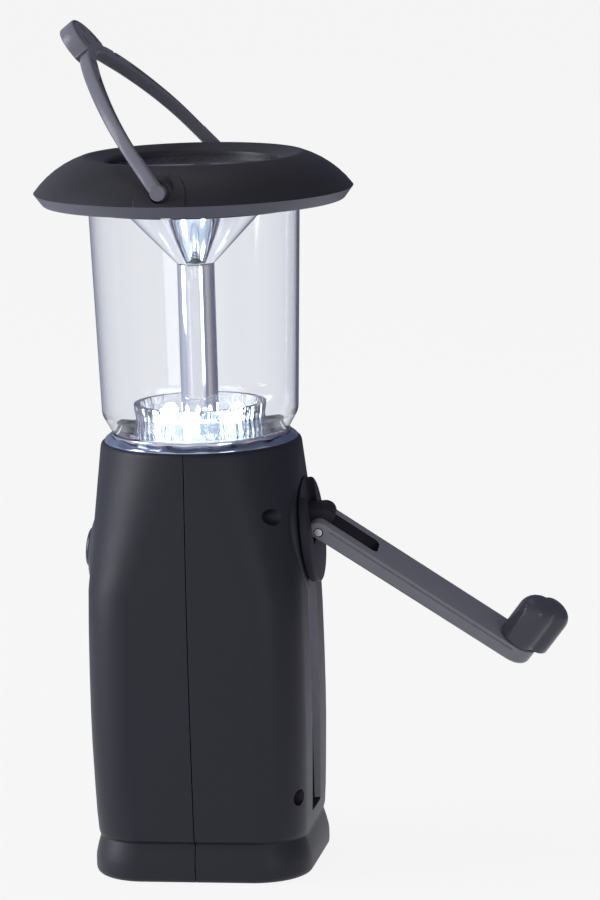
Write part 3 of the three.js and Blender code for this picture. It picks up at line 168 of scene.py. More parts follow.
card_reach = node(floor_card, "VectorMath", operation="LENGTH")
card_fade = node(floor_card, "MapRange", {"From Min": gleam_near, "From Max": gleam_far})
card_walls = node(floor_card, "Group", node_tree=walls)
card_tone = node(floor_card, "Mix", {"A": (0.93, 0.94, 0.97, 1)}, data_type="RGBA")
card_gleam = node(floor_card, "Emission")
card_all = node(floor_card, "MixShader")
wire(floor_card,
     (card_path, "Is Camera Ray", card_seen, 0),
     (card_path, "Is Transmission Ray", card_seen, 1),
     (card_seen, 0, card_part, 0),
     (card_part, 0, card_mix, "Fac"),
     (card_matt, 0, card_mix, 1),
     (card_glow, 0, card_mix, 2),
     (card_place, "Object", card_reach, 0),
     (card_reach, "Value", card_fade, "Value"),
     (card_fade, 0, card_tone, "Factor"),
     (card_place, "Object", card_walls, "Direction"),
     (card_walls, "Color", card_tone, "B"),
     (card_tone, "Result", card_gleam, "Color"),
     (card_path, "Glossy Depth", card_turned, 0),
     (card_turned, 0, card_scattered, 0),
     (card_path, "Is Diffuse Ray", card_scattered, 1),
     (card_scattered, 0, card_mirrored, 0),
     (card_mirrored, 0, card_all, "Fac"),
     (card_mix, 0, card_all, 1),
     (card_gleam, 0, card_all, 2),
     (card_all, 0, "output", "Surface"))
floor.data.materials.append(floor_card)

studio = bpy.data.worlds.new("studio")
studio.use_nodes = True
bpy.context.scene.world = studio
studio.node_tree.nodes.clear()
studio_out = node(studio, "OutputWorld")
studio_room = node(studio, "Background")
studio_paper = node(studio, "Background", {"Color": (paper_white, paper_white, paper_white, 1)})
studio_path = node(studio, "LightPath")
studio_seen = node(studio, "Math", operation="MAXIMUM")
studio_straight = node(studio, "Math", {1: 0.5}, operation="LESS_THAN")
studio_shown = node(studio, "Math", operation="MULTIPLY")
studio_mix = node(studio, "MixShader")
studio_way = node(studio, "TexCoord")
studio_walls = node(studio, "Group", node_tree=walls)
studio_parts = node(studio, "SeparateXYZ")
studio_high = node(studio, "MapRange", {
    "From Min": 0.25, "From Max": 0.95}, interpolation_type="SMOOTHSTEP")
studio_ceiling = node(studio, "Mix", {"B": (0.2, 0.2, 0.23, 1)}, data_type="RGBA")
wire(studio,
     (studio_way, "Generated", studio_walls, "Direction"),
     (studio_way, "Generated", studio_parts, 0),
     (studio_parts, "Z", studio_high, "Value"),
     (studio_high, 0, studio_ceiling, "Factor"),
     (studio_walls, "Color", studio_ceiling, "A"),
     (studio_ceiling, "Result", studio_room, "Color"),
     (studio_path, "Is Camera Ray", studio_seen, 0),
     (studio_path, "Is Transmission Ray", studio_seen, 1),
     (studio_path, "Glossy Depth", studio_straight, 0),
     (studio_seen, 0, studio_shown, 0),
     (studio_straight, 0, studio_shown, 1),
     (studio_shown, 0, studio_mix, "Fac"),
     (studio_room, 0, studio_mix, 1),
     (studio_paper, 0, studio_mix, 2),
     (studio_mix, 0, studio_out, "Surface"))

lamps_aim = Vector((0, 0, 0.12))
for name, place, width, height, watts, colour in (
        ("lamp_left", (-1.75, -0.45, 0.7), 0.9, 1.3, 30, (0.94, 0.96, 1)),
        ("lamp_right", (1.1, -1.3, 0.2), 0.5, 0.5, 3, (0.96, 0.97, 1)),
        ("lamp_above", (-0.3, 0.3, 1.7), 1.0, 1.0, 2, (0.96, 0.97, 1))):
    light = bpy.data.lights.new(name, "AREA")
    light.shape = "RECTANGLE"
    light.size, light.size_y = width, height
    light.energy = watts
    light.color = colour
    lamp_object = bpy.data.objects.new(name, light)
    lamp_object.location = place
    lamp_object.rotation_euler = (lamps_aim - Vector(place)).to_track_quat("-Z", "Y").to_euler()
    bpy.context.scene.collection.objects.link(lamp_object)


# The body's two shells. They are moulded in black ABS with a fine matt texture, meet at the seam
# down the front and back, and are held together by four screws put in from the right.

# A fine moulded texture: small bumps, and a slow drift of tone and gloss from the mould
moulded = new_group(
    "moulded_texture",
    [("Color", "NodeSocketColor", (0.02, 0.02, 0.02, 1)), ("Grain Scale", "NodeSocketFloat", 2500.0),
     ("Tone Drift", "NodeSocketFloat", 0.2), ("Roughness", "NodeSocketFloat", 0.5),
     ("Gloss Drift", "NodeSocketFloat", 0.06)],
    [("Color", "NodeSocketColor"), ("Roughness", "NodeSocketFloat"), ("Height", "NodeSocketFloat")])
mould_place = node(moulded, "TexCoord")
mould_grain = node(moulded, "TexNoise", {"Detail": 2})
mould_drift = node(moulded, "TexNoise", {"Scale": 38, "Detail": 3})
mould_patch = node(moulded, "TexNoise", {"Scale": 170, "Detail": 4})
mould_spread = node(moulded, "Math", {1: 0.5}, operation="SUBTRACT")
mould_tone = node(moulded, "Math", {2: 1.0}, operation="MULTIPLY_ADD")
mould_paint = node(moulded, "VectorMath", operation="SCALE")
mould_gloss = node(moulded, "Math", {1: 0.5}, operation="SUBTRACT")
mould_rough = node(moulded, "Math", operation="MULTIPLY_ADD")
wire(moulded,
     (mould_place, "Object", mould_grain, "Vector"),
     (mould_place, "Object", mould_drift, "Vector"),
     (mould_place, "Object", mould_patch, "Vector"),
     ("in", "Grain Scale", mould_grain, "Scale"),
     (mould_drift, "Fac", mould_spread, 0),
     (mould_spread, 0, mould_tone, 0),
     ("in", "Tone Drift", mould_tone, 1),
     ("in", "Color", mould_paint, 0),
     (mould_tone, 0, mould_paint, "Scale"),
     (mould_paint, 0, "out", "Color"),
     (mould_patch, "Fac", mould_gloss, 0),
     (mould_gloss, 0, mould_rough, 0),
     ("in", "Gloss Drift", mould_rough, 1),
     ("in", "Roughness", mould_rough, 2),
     (mould_rough, 0, "out", "Roughness"),
     (mould_grain, "Fac", "out", "Height"))

# Handled edges: a paler, smoother line where two faces meet, broken up by noise
worn = new_group(
    "edge_wear",
    [("Width", "NodeSocketFloat", 0.0006), ("Amount", "NodeSocketFloat", 0.5)],
    [("Mask", "NodeSocketFloat"), ("Normal", "NodeSocketVector")])
wear_place = node(worn, "TexCoord")
wear_round = node(worn, "Bevel", samples=4)
wear_flat = node(worn, "NewGeometry")
wear_turn = node(worn, "VectorMath", operation="DOT_PRODUCT")
wear_edge = node(worn, "MapRange", {"From Min": 0.99, "From Max": 0.78})
wear_scuff = node(worn, "TexNoise", {"Scale": 320, "Detail": 5})
wear_broken = node(worn, "MapRange", {"From Min": 0.4, "From Max": 0.65})
wear_both = node(worn, "Math", operation="MULTIPLY")
wear_mask = node(worn, "Math", operation="MULTIPLY")
wire(worn,
     ("in", "Width", wear_round, "Radius"),
     (wear_round, 0, wear_turn, 0),
     (wear_flat, "Normal", wear_turn, 1),
     (wear_turn, "Value", wear_edge, "Value"),
     (wear_place, "Object", wear_scuff, "Vector"),
     (wear_scuff, "Fac", wear_broken, "Value"),
     (wear_edge, 0, wear_both, 0),
     (wear_broken, 0, wear_both, 1),
     (wear_both, 0, wear_mask, 0),
     ("in", "Amount", wear_mask, 1),
     (wear_mask, 0, "out", "Mask"),
     (wear_round, 0, "out", "Normal"))

# Dust that settles on faces which look up
dusty = new_group(
    "settled_dust", [("Amount", "NodeSocketFloat", 0.2), ("Scale", "NodeSocketFloat", 900.0)],
    [("Mask", "NodeSocketFloat")])
dust_place = node(dusty, "TexCoord")
dust_flat = node(dusty, "NewGeometry")
dust_up = node(dusty, "SeparateXYZ")
dust_lies = node(dusty, "MapRange", {"From Min": 0.35, "From Max": 0.95})
dust_specks = node(dusty, "TexNoise", {"Detail": 6})
dust_thin = node(dusty, "MapRange", {"From Min": 0.42, "From Max": 0.78})
dust_both = node(dusty, "Math", operation="MULTIPLY")
dust_mask = node(dusty, "Math", operation="MULTIPLY")
wire(dusty,
     (dust_flat, "Normal", dust_up, 0),
     (dust_up, "Z", dust_lies, "Value"),
     (dust_place, "Object", dust_specks, "Vector"),
     ("in", "Scale", dust_specks, "Scale"),
     (dust_specks, "Fac", dust_thin, "Value"),
     (dust_lies, 0, dust_both, 0),
     (dust_thin, 0, dust_both, 1),
     (dust_both, 0, dust_mask, 0),
     ("in", "Amount", dust_mask, 1),
     (dust_mask, 0, "out", "Mask"))


def plastic(name, colour, roughness, grain, depth, wear=0.25, edge=0.35, dust=0.04, drift=0.15, gleam=0.5):
    """Moulded plastic: grain is the size of its texture in mm, depth how deep it is, edge its edge radius
    in mm, and gleam how strongly it mirrors."""
    material = empty_material(name)
    texture = node(material, "Group", {
        "Color": (*colour, 1), "Grain Scale": 1 / (grain * mm), "Tone Drift": drift,
        "Roughness": roughness}, node_tree=moulded)
    rubbed = node(material, "Group", {"Width": edge * mm, "Amount": wear}, node_tree=worn)
    settled = node(material, "Group", {"Amount": dust}, node_tree=dusty)
    pale = node(material, "Mix", {"B": (*[part * 1.8 + 0.015 for part in colour], 1)}, data_type="RGBA")
    grey = node(material, "Mix", {"B": (0.22, 0.21, 0.2, 1)}, data_type="RGBA")
    smooth = node(material, "Math", {1: -0.12}, operation="MULTIPLY_ADD")
    relief = node(material, "Bump", {"Strength": 1.0, "Distance": depth * mm})
    shader = node(material, "BsdfPrincipled", {"Specular IOR Level": gleam})
    wire(material,
         (texture, "Color", pale, "A"),
         (rubbed, "Mask", pale, "Factor"),
         (pale, "Result", grey, "A"),
         (settled, "Mask", grey, "Factor"),
         (grey, "Result", shader, "Base Color"),
         (rubbed, "Mask", smooth, 0),
         (texture, "Roughness", smooth, 2),
         (smooth, 0, shader, "Roughness"),
         (texture, "Height", relief, "Height"),
         (rubbed, "Normal", relief, "Normal"),
         (relief, "Normal", shader, "Normal"),
         (shader, 0, "output", "Surface"))
    return material


merge_within = 1e-3 * mm


def bevel(bm, geom, reach, steps=4, affect="EDGES"):
    """Rounds these edges or corners with that reach, in mm."""
    bmesh.ops.bevel(bm, geom=geom, offset=reach * mm, affect=affect, segments=steps, profile=0.5, material=-1)


def close(bm, sides=0):
    """Fills the holes of a mesh."""
    bmesh.ops.holes_fill(bm, edges=[edge for edge in bm.edges if edge.is_boundary], sides=sides)


def skin(bm, rings):
    """Joins each ring of edges to the next and closes both ends."""
    for low, high in zip(rings, rings[1:]):
        bmesh.ops.bridge_loops(bm, edges=low + high)
    close(bm)


def made(name, bm):
    """A mesh object of what bm holds, with its doubles merged and its faces outwards."""
    bmesh.ops.remove_doubles(bm, verts=bm.verts, dist=merge_within)
    bmesh.ops.recalc_face_normals(bm, faces=bm.faces)
    mesh = bpy.data.meshes.new(name)
    bm.to_mesh(mesh)
    bm.free()
    thing = bpy.data.objects.new(name, mesh)
    bpy.context.scene.collection.objects.link(thing)
    return thing


def settle(thing):
    """Applies what modifiers the object has."""
    bpy.context.view_layer.update()
    shown = thing.evaluated_get(bpy.context.evaluated_depsgraph_get())
    mesh = bpy.data.meshes.new_from_object(shown)
    thing.modifiers.clear()
    thing.data = mesh
    return thing


def worked(thing, tools, way="DIFFERENCE"):
    """The object with each tool cut from it or, with UNION or INTERSECT, joined or kept."""
    for tool in tools:
        cut = thing.modifiers.new("work", "BOOLEAN")
        cut.operation = way
        cut.solver = "EXACT"
        cut.object = tool
        settle(thing)
        bpy.data.objects.remove(tool)
    return thing


def rounded_ring(bm, half_x, half_y, corner, z, crown=0.0, points=96):
    """Edges of a rounded rectangle at height z, whose front and back stand out by crown at the seam."""
    ring = bmesh.ops.create_circle(bm, cap_ends=False, segments=points, radius=corner * mm)["verts"]
    for v in ring:
        side_x = 0 if abs(v.co.x) < merge_within else math.copysign(1, v.co.x)
        side_y = 0 if abs(v.co.y) < merge_within else math.copysign(1, v.co.y)
        v.co += Vector((side_x * (half_x - corner), side_y * (half_y - corner), z)) * mm
        if side_x == 0:
            v.co.y += side_y * crown * mm
    return list({edge for v in ring for edge in v.link_edges})


def lofted(name, levels, points=96):
    """A closed body through levels of (half across, half deep, corner, height and crown)."""
    bm = bmesh.new()
    rings = [rounded_ring(bm, *row, points=points) for row in levels]
    skin(bm, rings)
    return made(name, bm)


def rod(radius, low, high, place=(0, 0), along="X", points=64, frame_of=Matrix()):
    """A round bar along an axis of frame_of, from low to high, at place across it."""
    bm = bmesh.new()
    bmesh.ops.create_cone(bm, cap_ends=True, segments=points, radius1=radius * mm, radius2=radius * mm,
                          depth=(high - low) * mm)
    bmesh.ops.translate(bm, verts=bm.verts, vec=(0, 0, (low + high) / 2 * mm))
    if along == "X":
        turn = Matrix(((0, 0, 1), (1, 0, 0), (0, 1, 0))).to_4x4()
        shift = Vector((0, place[0], place[1]))
    elif along == "Y":
        turn = Matrix(((0, 1, 0), (0, 0, 1), (1, 0, 0))).to_4x4()
        shift = Vector((place[0], 0, place[1]))
    else:
        turn = Matrix()
        shift = Vector((place[0], place[1], 0))
    bmesh.ops.transform(bm, verts=bm.verts, matrix=frame_of @ Matrix.Translation(shift * mm) @ turn)
    return made("rod", bm)


def block(low, high, corner=0.0, frame_of=Matrix()):
    """A box from its low to its high corner, with every edge rounded by corner."""
    bm = bmesh.new()
    size = Vector(high) - Vector(low)
    bmesh.ops.create_cube(bm, size=1)
    bmesh.ops.scale(bm, verts=bm.verts, vec=size * mm)
    bmesh.ops.translate(bm, verts=bm.verts, vec=(Vector(low) + Vector(high)) / 2 * mm)
    if corner:
        bevel(bm, bm.edges[:] + bm.verts[:], corner)
    bmesh.ops.transform(bm, verts=bm.verts, matrix=frame_of)
    return made("block", bm)


turn_step = 6


def drawn(steps):
    """A closed outline across and up, in mm: a step is a point, a point with the reach of its rounding,
    or ("turn", centre across, centre up, degrees anticlockwise)."""
    bm = bmesh.new()
    pen = bm.verts.new((steps[0][0] * mm, 0, steps[0][1] * mm))
    first = pen
    rounds = {}
    for step in steps:
        if step[0] == "turn":
            carried = bmesh.ops.spin(bm, geom=[pen], cent=(step[1] * mm, 0, step[2] * mm), axis=(0, -1, 0),
                                     dvec=(0, 0, 0), angle=math.radians(step[3]),
                                     steps=max(2, round(abs(step[3]) / turn_step)), use_duplicate=False)
            pen = [item for item in carried["geom_last"] if isinstance(item, bmesh.types.BMVert)][0]
            continue
        if step is not steps[0]:
            corner = bm.verts.new((step[0] * mm, 0, step[1] * mm))
            bm.edges.new((pen, corner))
            pen = corner
        if len(step) > 2:
            rounds.setdefault(step[2], []).append(pen)
    if (pen.co - first.co).length > merge_within:
        bm.edges.new((pen, first))
    for reach, corners in rounds.items():
        bevel(bm, corners, reach, affect="VERTICES")
    bmesh.ops.remove_doubles(bm, verts=bm.verts, dist=merge_within)
    return bm


def spun(name, steps, place=Matrix(), around=96):
    """A body turned about the upright axis from a drawn outline, then put in place."""
    bm = drawn(steps)
    on_axis = [edge for edge in bm.edges if all(abs(v.co.x) < merge_within for v in edge.verts)]
    bmesh.ops.delete(bm, geom=on_axis, context="EDGES")
    bmesh.ops.spin(bm, geom=bm.verts[:] + bm.edges[:], cent=(0, 0, 0), axis=(0, 0, 1), dvec=(0, 0, 0),
                   angle=2 * math.pi, steps=around, use_merge=True, use_duplicate=False)
    bmesh.ops.transform(bm, verts=bm.verts, matrix=place)
    return made(name, bm)


def halved(thing, side, gap):
    """The part of a closed body on one side of the seam, closed again."""
    bm = bmesh.new()
    bm.from_mesh(thing.data)
    bmesh.ops.bisect_plane(bm, geom=bm.verts[:] + bm.edges[:] + bm.faces[:], dist=1e-4 * mm,
                           plane_co=(side * gap * mm, 0, 0), plane_no=(side, 0, 0), clear_inner=True)
    close(bm)
    bpy.data.objects.remove(thing)
    return made("half", bm)


def finished(thing, name, material, body, nodes, sharp=32):
    """Names a piece, smooths its round faces, paints it, and puts it on its body, in place of CAD nodes
    where there are any."""
    thing.name = name
    thing.data.materials.clear()
    thing.data.materials.append(material)
    thing.data.shade_smooth()
    thing.data.set_sharp_from_angle(angle=math.radians(sharp))
    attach(thing, body)
    if nodes:
        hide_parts(*nodes)
    return thing


def placed(x, y, z):
    return Matrix.Translation(Vector((x, y, z)) * mm)


def turned(degrees, axis):
    return Matrix.Rotation(math.radians(degrees), 4, axis)


seam_crown, crown_width, seam_gap = 0.45, 18.5, 0.15
foot_levels = [
    (33, 31.8, 15.9, 0, 0), (33.7, 32.5, 16.9, 0.3, 0), (34.2, 33, 17.4, 0.8, 0), (34.5, 33.3, 17.5, 1.5, 0),
    (34.6, 33.4, 17.5, 2.4, 0), (34.6, 33.4, 17.5, 5.2, 0), (34.45, 33.25, 17.35, 6.6, 0),
    (33.8, 32.6, 16.7, 9.3, 0), (33.2, 32, 16.1, 11.3, 0), (32.9, 31.7, 15.8, 12.3, 0)]
side_levels = [
    (33.1, 33.05, 16.3, 13.4), (33.3, 33.3, 16.5, 14.2), (33.6, 33.6, 16.1, 20), (33.85, 33.85, 15.8, 29),
    (34.2, 34.2, 15.8, 42), (34.3, 34.3, 15.8, 52), (34.28, 34.28, 15.9, 65), (34.15, 34.15, 16.1, 79)]
shoulder_low, shoulder_high = (33.9, 33.9, 16.5, 91), (31.7, 31.7, 31.2, 134)
shoulder_steps = 10


def crowned(row):
    """A level whose front and back stand out at the seam, the more the wider its flat is."""
    return (*row, seam_crown * (row[0] - row[2]) / crown_width)


outside = foot_levels + [crowned(row) for row in side_levels]
for step in range(shoulder_steps + 1):
    share = step / shoulder_steps
    outside.append(crowned([a + (b - a) * share for a, b in zip(shoulder_low, shoulder_high)]))
deck_levels = [(31.6, 31.6, 31.1, 134.7), (31.3, 31.3, 30.8, 135.4), (30.8, 30.8, 30.3, 135.8)]
outside += [crowned(row) for row in deck_levels]
hollow = [(30.7, 29.5, 13.6, 4.8, 0), (31.1, 31.1, 14.3, 14.2, 0), (32.1, 32.1, 13.6, 52, 0),
          (31.7, 31.7, 14.3, 91, 0), (29.5, 29.5, 29, 133.6, 0)]
hub_place = placed(33.1, 0, 106.5) @ turned(-5, "Y")
crank_axis = hub_place @ turned(90, "Y")
button_place = placed(-33.4, 0, 100.5) @ turned(5, "Y")
shell_screws = [(y, z) for z in (115, 26) for y in (-24.6, 24.6)]
screw_post_r, screw_pilot_r, screw_well_r = 4.1, 1.4, 2.6
web_reach, web_half = 34, 1
cover_post_r, cover_screw_x = 3.4, (-6.5, 20)
plate_posts = [(y, z) for z in (17, -49) for y in (-16.4, 16.4)]
plate_post_r = 2.8
hub_room_r, hub_post_r, hub_bore_r = 17.6, 6, 3.3
idler_spot, idler_post_r, idler_bore_r = (0, -21.1), 3.2, 1.8
button_room_r, button_bore_r = 14, 8.5
channel_half, channel_low, channel_high = 8.2, 17.6, 91.8
channel_floor, knob_bay_floor, knob_bay_high = 30.8, 13.9, 41.5
channel_out, channel_corner = 45, 0.8
deck_hole, cover_hole = 25.8, (26.3, 24.3, 8)
black_abs = plastic("black_abs", (0.0115, 0.0118, 0.0195), 0.48, 0.34, 0.006, edge=0.3, gleam=0.28)
# channel walls: a pale copy of the body's black, painted light on the walls of the crank's channel
channel_painted_light = plastic("channel_painted_light", (0.26, 0.245, 0.28), 0.3, 0.8, 0.003, wear=0.1)

for side, name in ((-1, "left"), (1, "right")):
    shell = lofted("shell", outside)
    if side > 0:
        seat = spun("seat", [(0, -9), (19.6, -9), (19.6, -0.12, 1.1), (0, -0.12)], place=crank_axis)
        shell = worked(shell, [seat], "UNION")
    shell = halved(shell, side, seam_gap)
    room = lofted("room", hollow, points=48)
    post_ends = (0.3, 35) if side > 0 else (-11, -0.3)
    kept = []
    for y, z in shell_screws:
        web_low, web_high = sorted((y, math.copysign(web_reach, y)))
        kept.append(rod(screw_post_r, *post_ends, place=(y, z), points=24))
        kept.append(block((post_ends[0], web_low, z - web_half), (post_ends[1], web_high, z + web_half)))
    if side > 0:
        kept += [rod(hub_room_r, -3.2, 1, frame_of=hub_place),
                 rod(hub_post_r, -7.6, 0, frame_of=hub_place, points=32),
                 rod(idler_post_r, -7.4, -2, place=idler_spot, frame_of=hub_place, points=24),
                 block((28.6, -10, 40), (36, 10, 94)),
                 block((12.1, -10, 15.8), (36, 10, 43.3)),
                 rod(cover_post_r, 2, 14, place=(cover_screw_x[1], 0), along="Z", points=24)]
        kept += [rod(plate_post_r, -17.5, 1, place=spot, frame_of=hub_place, points=24)
                 for spot in plate_posts]
        cuts = [rod(hub_room_r, 0, 16, frame_of=hub_place, points=96),
                rod(hub_bore_r, -8.6, 1, frame_of=hub_place, points=32),
                rod(idler_bore_r, -8.4, -3.8, place=idler_spot, frame_of=hub_place, points=24),
                block((channel_floor, -channel_half, channel_low),
                      (channel_out, channel_half, channel_high), corner=channel_corner),
                block((knob_bay_floor, -channel_half, channel_low),
                      (channel_out, channel_half, knob_bay_high), corner=channel_corner)]
        cuts += [rod(screw_well_r, 12, 45, place=spot, points=48) for spot in shell_screws]
        cuts += [rod(screw_pilot_r, -1, 13, place=spot, points=16) for spot in shell_screws]
    else:
        kept += [rod(cover_post_r, 2, 14, place=(cover_screw_x[0], 0), along="Z", points=24),
                 rod(button_room_r, -1, 2.2, frame_of=button_place)]
        cuts = [rod(button_room_r, -14, 0, frame_of=button_place, points=96),
                rod(button_bore_r, -1, 7, frame_of=button_place)]
        cuts += [rod(screw_pilot_r, -9, 1, place=spot, points=16) for spot in shell_screws]
    room = worked(room, kept)
    shell = worked(shell, [room, rod(deck_hole, 132.6, 137, along="Z", points=96),
                           lofted("recess", [(*cover_hole, -1, 0), (*cover_hole, 2.6, 0)], points=48)])
    shell = worked(shell, cuts)
    finished(shell, f"shell_{name}", black_abs, "lantern", [f"body_shell_{name}"])
    # The channel's side walls take the pale copy: painted light, as if light fell on the wall that faces the
    # front.
    shell.data.materials.append(channel_painted_light)
    for face in shell.data.polygons:
        middle = face.center / mm
        in_channel = 31 < middle.x < 35 and 17.4 < middle.z < 92
        if in_channel and abs(abs(middle.y) - channel_half) < 0.1:
            face.material_index = 1


# The bottom cover and the screws that hold the body. The cover is a moulded plate let into the foot;
# the screws are zinc-plated steel with cross recesses, driven down counterbores in the right shell.
def slab(name, steps, low, high, place=Matrix(), edge=0.0):
    """A drawn outline made thick from low to high along the depth axis, its rims rounded by edge."""
    bm = drawn(steps)
    bmesh.ops.translate(bm, verts=bm.verts, vec=(0, low * mm, 0))
    bmesh.ops.edgeloop_fill(bm, edges=bm.edges[:])
    grown = bmesh.ops.extrude_face_region(bm, geom=bm.faces[:])["geom"]
    bmesh.ops.translate(bm, verts=[item for item in grown if isinstance(item, bmesh.types.BMVert)],
                        vec=(0, (high - low) * mm, 0))
    if edge:
        rims = [e for e in bm.edges if abs(e.verts[0].co.y - e.verts[1].co.y) < merge_within]
        bevel(bm, rims, edge, steps=3)
    bmesh.ops.transform(bm, verts=bm.verts, matrix=place)
    return made(name, bm)


def metal(name, colour, roughness, scratch, scratch_scale, drift=0.12):
    """Bare or plated metal: scratch is how much fine scratches break its gloss."""
    material = empty_material(name)
    place = node(material, "TexCoord")
    stretch = node(material, "Mapping", {"Scale": (1, 1, 0.12)})
    marks = node(material, "TexNoise", {"Scale": scratch_scale, "Detail": 6})
    shade = node(material, "MapRange", {
        "To Min": max(0.0, roughness - scratch), "To Max": roughness + scratch})
    tone = node(material, "Mix", {
        "A": (*colour, 1), "B": (*[part * (1 - drift) for part in colour], 1)}, data_type="RGBA")
    relief = node(material, "Bump", {"Strength": 0.35, "Distance": 0.01 * mm})
    shader = node(material, "BsdfPrincipled", {"Metallic": 1})
    wire(material,
         (place, "Object", stretch, "Vector"),
         (stretch, 0, marks, "Vector"),
         (marks, "Fac", shade, "Value"),
         (shade, 0, shader, "Roughness"),
         (marks, "Fac", tone, "Factor"),
         (tone, "Result", shader, "Base Color"),
         (marks, "Fac", relief, "Height"),
         (relief, "Normal", shader, "Normal"),
         (shader, 0, "output", "Surface"))
    return material


recess_long, recess_wide, recess_deep, recess_turn = 0.62, 0.13, 0.45, 0.35


def crossed(name, along, material):
    """A CAD screw with a cross recess sunk in its head: its low end along Z or its high end along X."""
    low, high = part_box(name)
    thing = bpy.data.objects.new(name + "_crossed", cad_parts[name].data.copy())
    bpy.context.scene.collection.objects.link(thing)
    bm = bmesh.new()
    bm.from_mesh(thing.data)
    bmesh.ops.remove_doubles(bm, verts=bm.verts, dist=merge_within)
    bm.to_mesh(thing.data)
    bm.free()
    middle = (Vector(low) + Vector(high)) / 2
    reach = (high[1] - low[1]) / 2 / mm
    if along == "X":
        head = Matrix.Translation(Vector((high[0], middle.y, middle.z))) @ turned(90, "Y")
    else:
        head = Matrix.Translation(Vector((middle.x, middle.y, low[2]))) @ turned(180, "X")
    arms = [block((-recess_long * reach, -recess_wide * reach, -recess_deep * reach),
                  (recess_long * reach, recess_wide * reach, 1),
                  frame_of=head @ Matrix.Rotation(turn, 4, "Z"))
            for turn in (recess_turn, recess_turn + math.pi / 2)]
    worked(thing, arms)
    return finished(thing, name + "_crossed", material, "lantern", [name])


cover_plastic = plastic("cover_plastic", (0.01, 0.01, 0.016), 0.5, 0.4, 0.007, edge=0.25)
cover_steel = metal("cover_steel", (0.55, 0.54, 0.52), 0.34, 0.14, 900)
cover = lofted("base_plate", [(25.5, 23.5, 7.5, 0, 0), (26, 24, 8, 0.5, 0), (26, 24, 8, 2.2, 0)])
cover_holes = [rod(1.2, -1, 3, place=(x, 0), along="Z", points=24) for x in cover_screw_x]
rib_half, rib_thick = 16, 1.6
grip_ribs = [block((x, -rib_half, -0.5), (x + rib_thick, rib_half, 0.45), corner=0.2)
             for x in (-20, -16.8, -13.6, 7, 10.2, 13.4)]
worked(cover, cover_holes + grip_ribs)
finished(cover, "base_plate", cover_plastic, "lantern", ["base_cover"])
for name in ("cover_screw_1", "cover_screw_2"):
    crossed(name, "Z", cover_steel)
for name in ("shell_screw_1", "shell_screw_2", "shell_screw_3", "shell_screw_4"):
    crossed(name, "X", cover_steel)


# The gearbox, generator, boards and cells inside the body. They are standard parts: acetal gears, a
# pressed steel can, tinned boards and wrapped cells, and they hang on posts in the shells.
def dress(names, material):
    """Gives CAD nodes that keep their shape a material of their own."""
    for name in names:
        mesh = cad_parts[name].data
        mesh.materials.clear()
        mesh.materials.append(material)


gear_acetal = plastic("gear_acetal", (0.62, 0.6, 0.54), 0.34, 0.5, 0.004, wear=0.1, dust=0.0, drift=0.08)
pressed_steel = metal("pressed_steel", (0.5, 0.5, 0.49), 0.3, 0.12, 600)
magnet_black = plastic("magnet_black", (0.02, 0.02, 0.022), 0.45, 0.3, 0.006, wear=0.3, dust=0.02)
board_green = plastic("board_green", (0.012, 0.09, 0.035), 0.32, 0.6, 0.006, wear=0.1, dust=0.03)
cell_green = plastic("cell_green", (0.02, 0.16, 0.06), 0.3, 0.9, 0.006, wear=0.1, dust=0.0)
lead_red = plastic("lead_red", (0.3, 0.01, 0.008), 0.4, 0.4, 0.004, wear=0.0, dust=0.0)
dress([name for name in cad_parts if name.startswith("plate_screw")], cover_steel)
dress(["drive_gear", "idler_gear", "generator_pinion"], gear_acetal)
dress(["gearbox_plate", "idler_axle", "generator_can", "hub_screw"], pressed_steel)
dress(["generator_magnet", "generator_rotor", "push_switch", "filter_capacitor"], magnet_black)
dress(["generator_cap", "battery_cradle"], cover_plastic)
dress(["control_board"], board_green)
dress(["battery_cell_1", "battery_cell_2", "battery_cell_3"], cell_green)
dress(["lamp_lead"], lead_red)


# The power button and its bezel on the left. Both are glossy moulded black; the bezel is glued into
# the seat and the button slides in it against the switch.
gloss_abs = plastic("gloss_abs", (0.03, 0.031, 0.042), 0.26, 0.7, 0.003, edge=0.3)
left_axis = button_place @ turned(90, "Y")
bezel = spun("bezel_ring", [
    (6.7, -2, 0.25), (10.5, -2, 0.4), (11.3, -1.2, 0.3), (12.9, -1.2, 0.4), (13.7, -0.4), (13.7, -0.3),
    (8.2, -0.3), (8.2, 1.6), (6.7, 1.6)], place=left_axis)
finished(bezel, "bezel_ring", gloss_abs, "lantern", ["button_bezel"])
button = spun("button_cap", [
    (0, -3.6), (3.4, -3.75), (5.2, -4.1, 0.8), (6.4, -3.3, 0.5), (6.4, 1.9), (7.8, 1.9), (7.8, 3.2),
    (1.8, 3.2), (1.8, 5.6), (0, 5.6)], place=left_axis)
finished(button, "button_cap", gloss_abs, "button", ["power_button"])


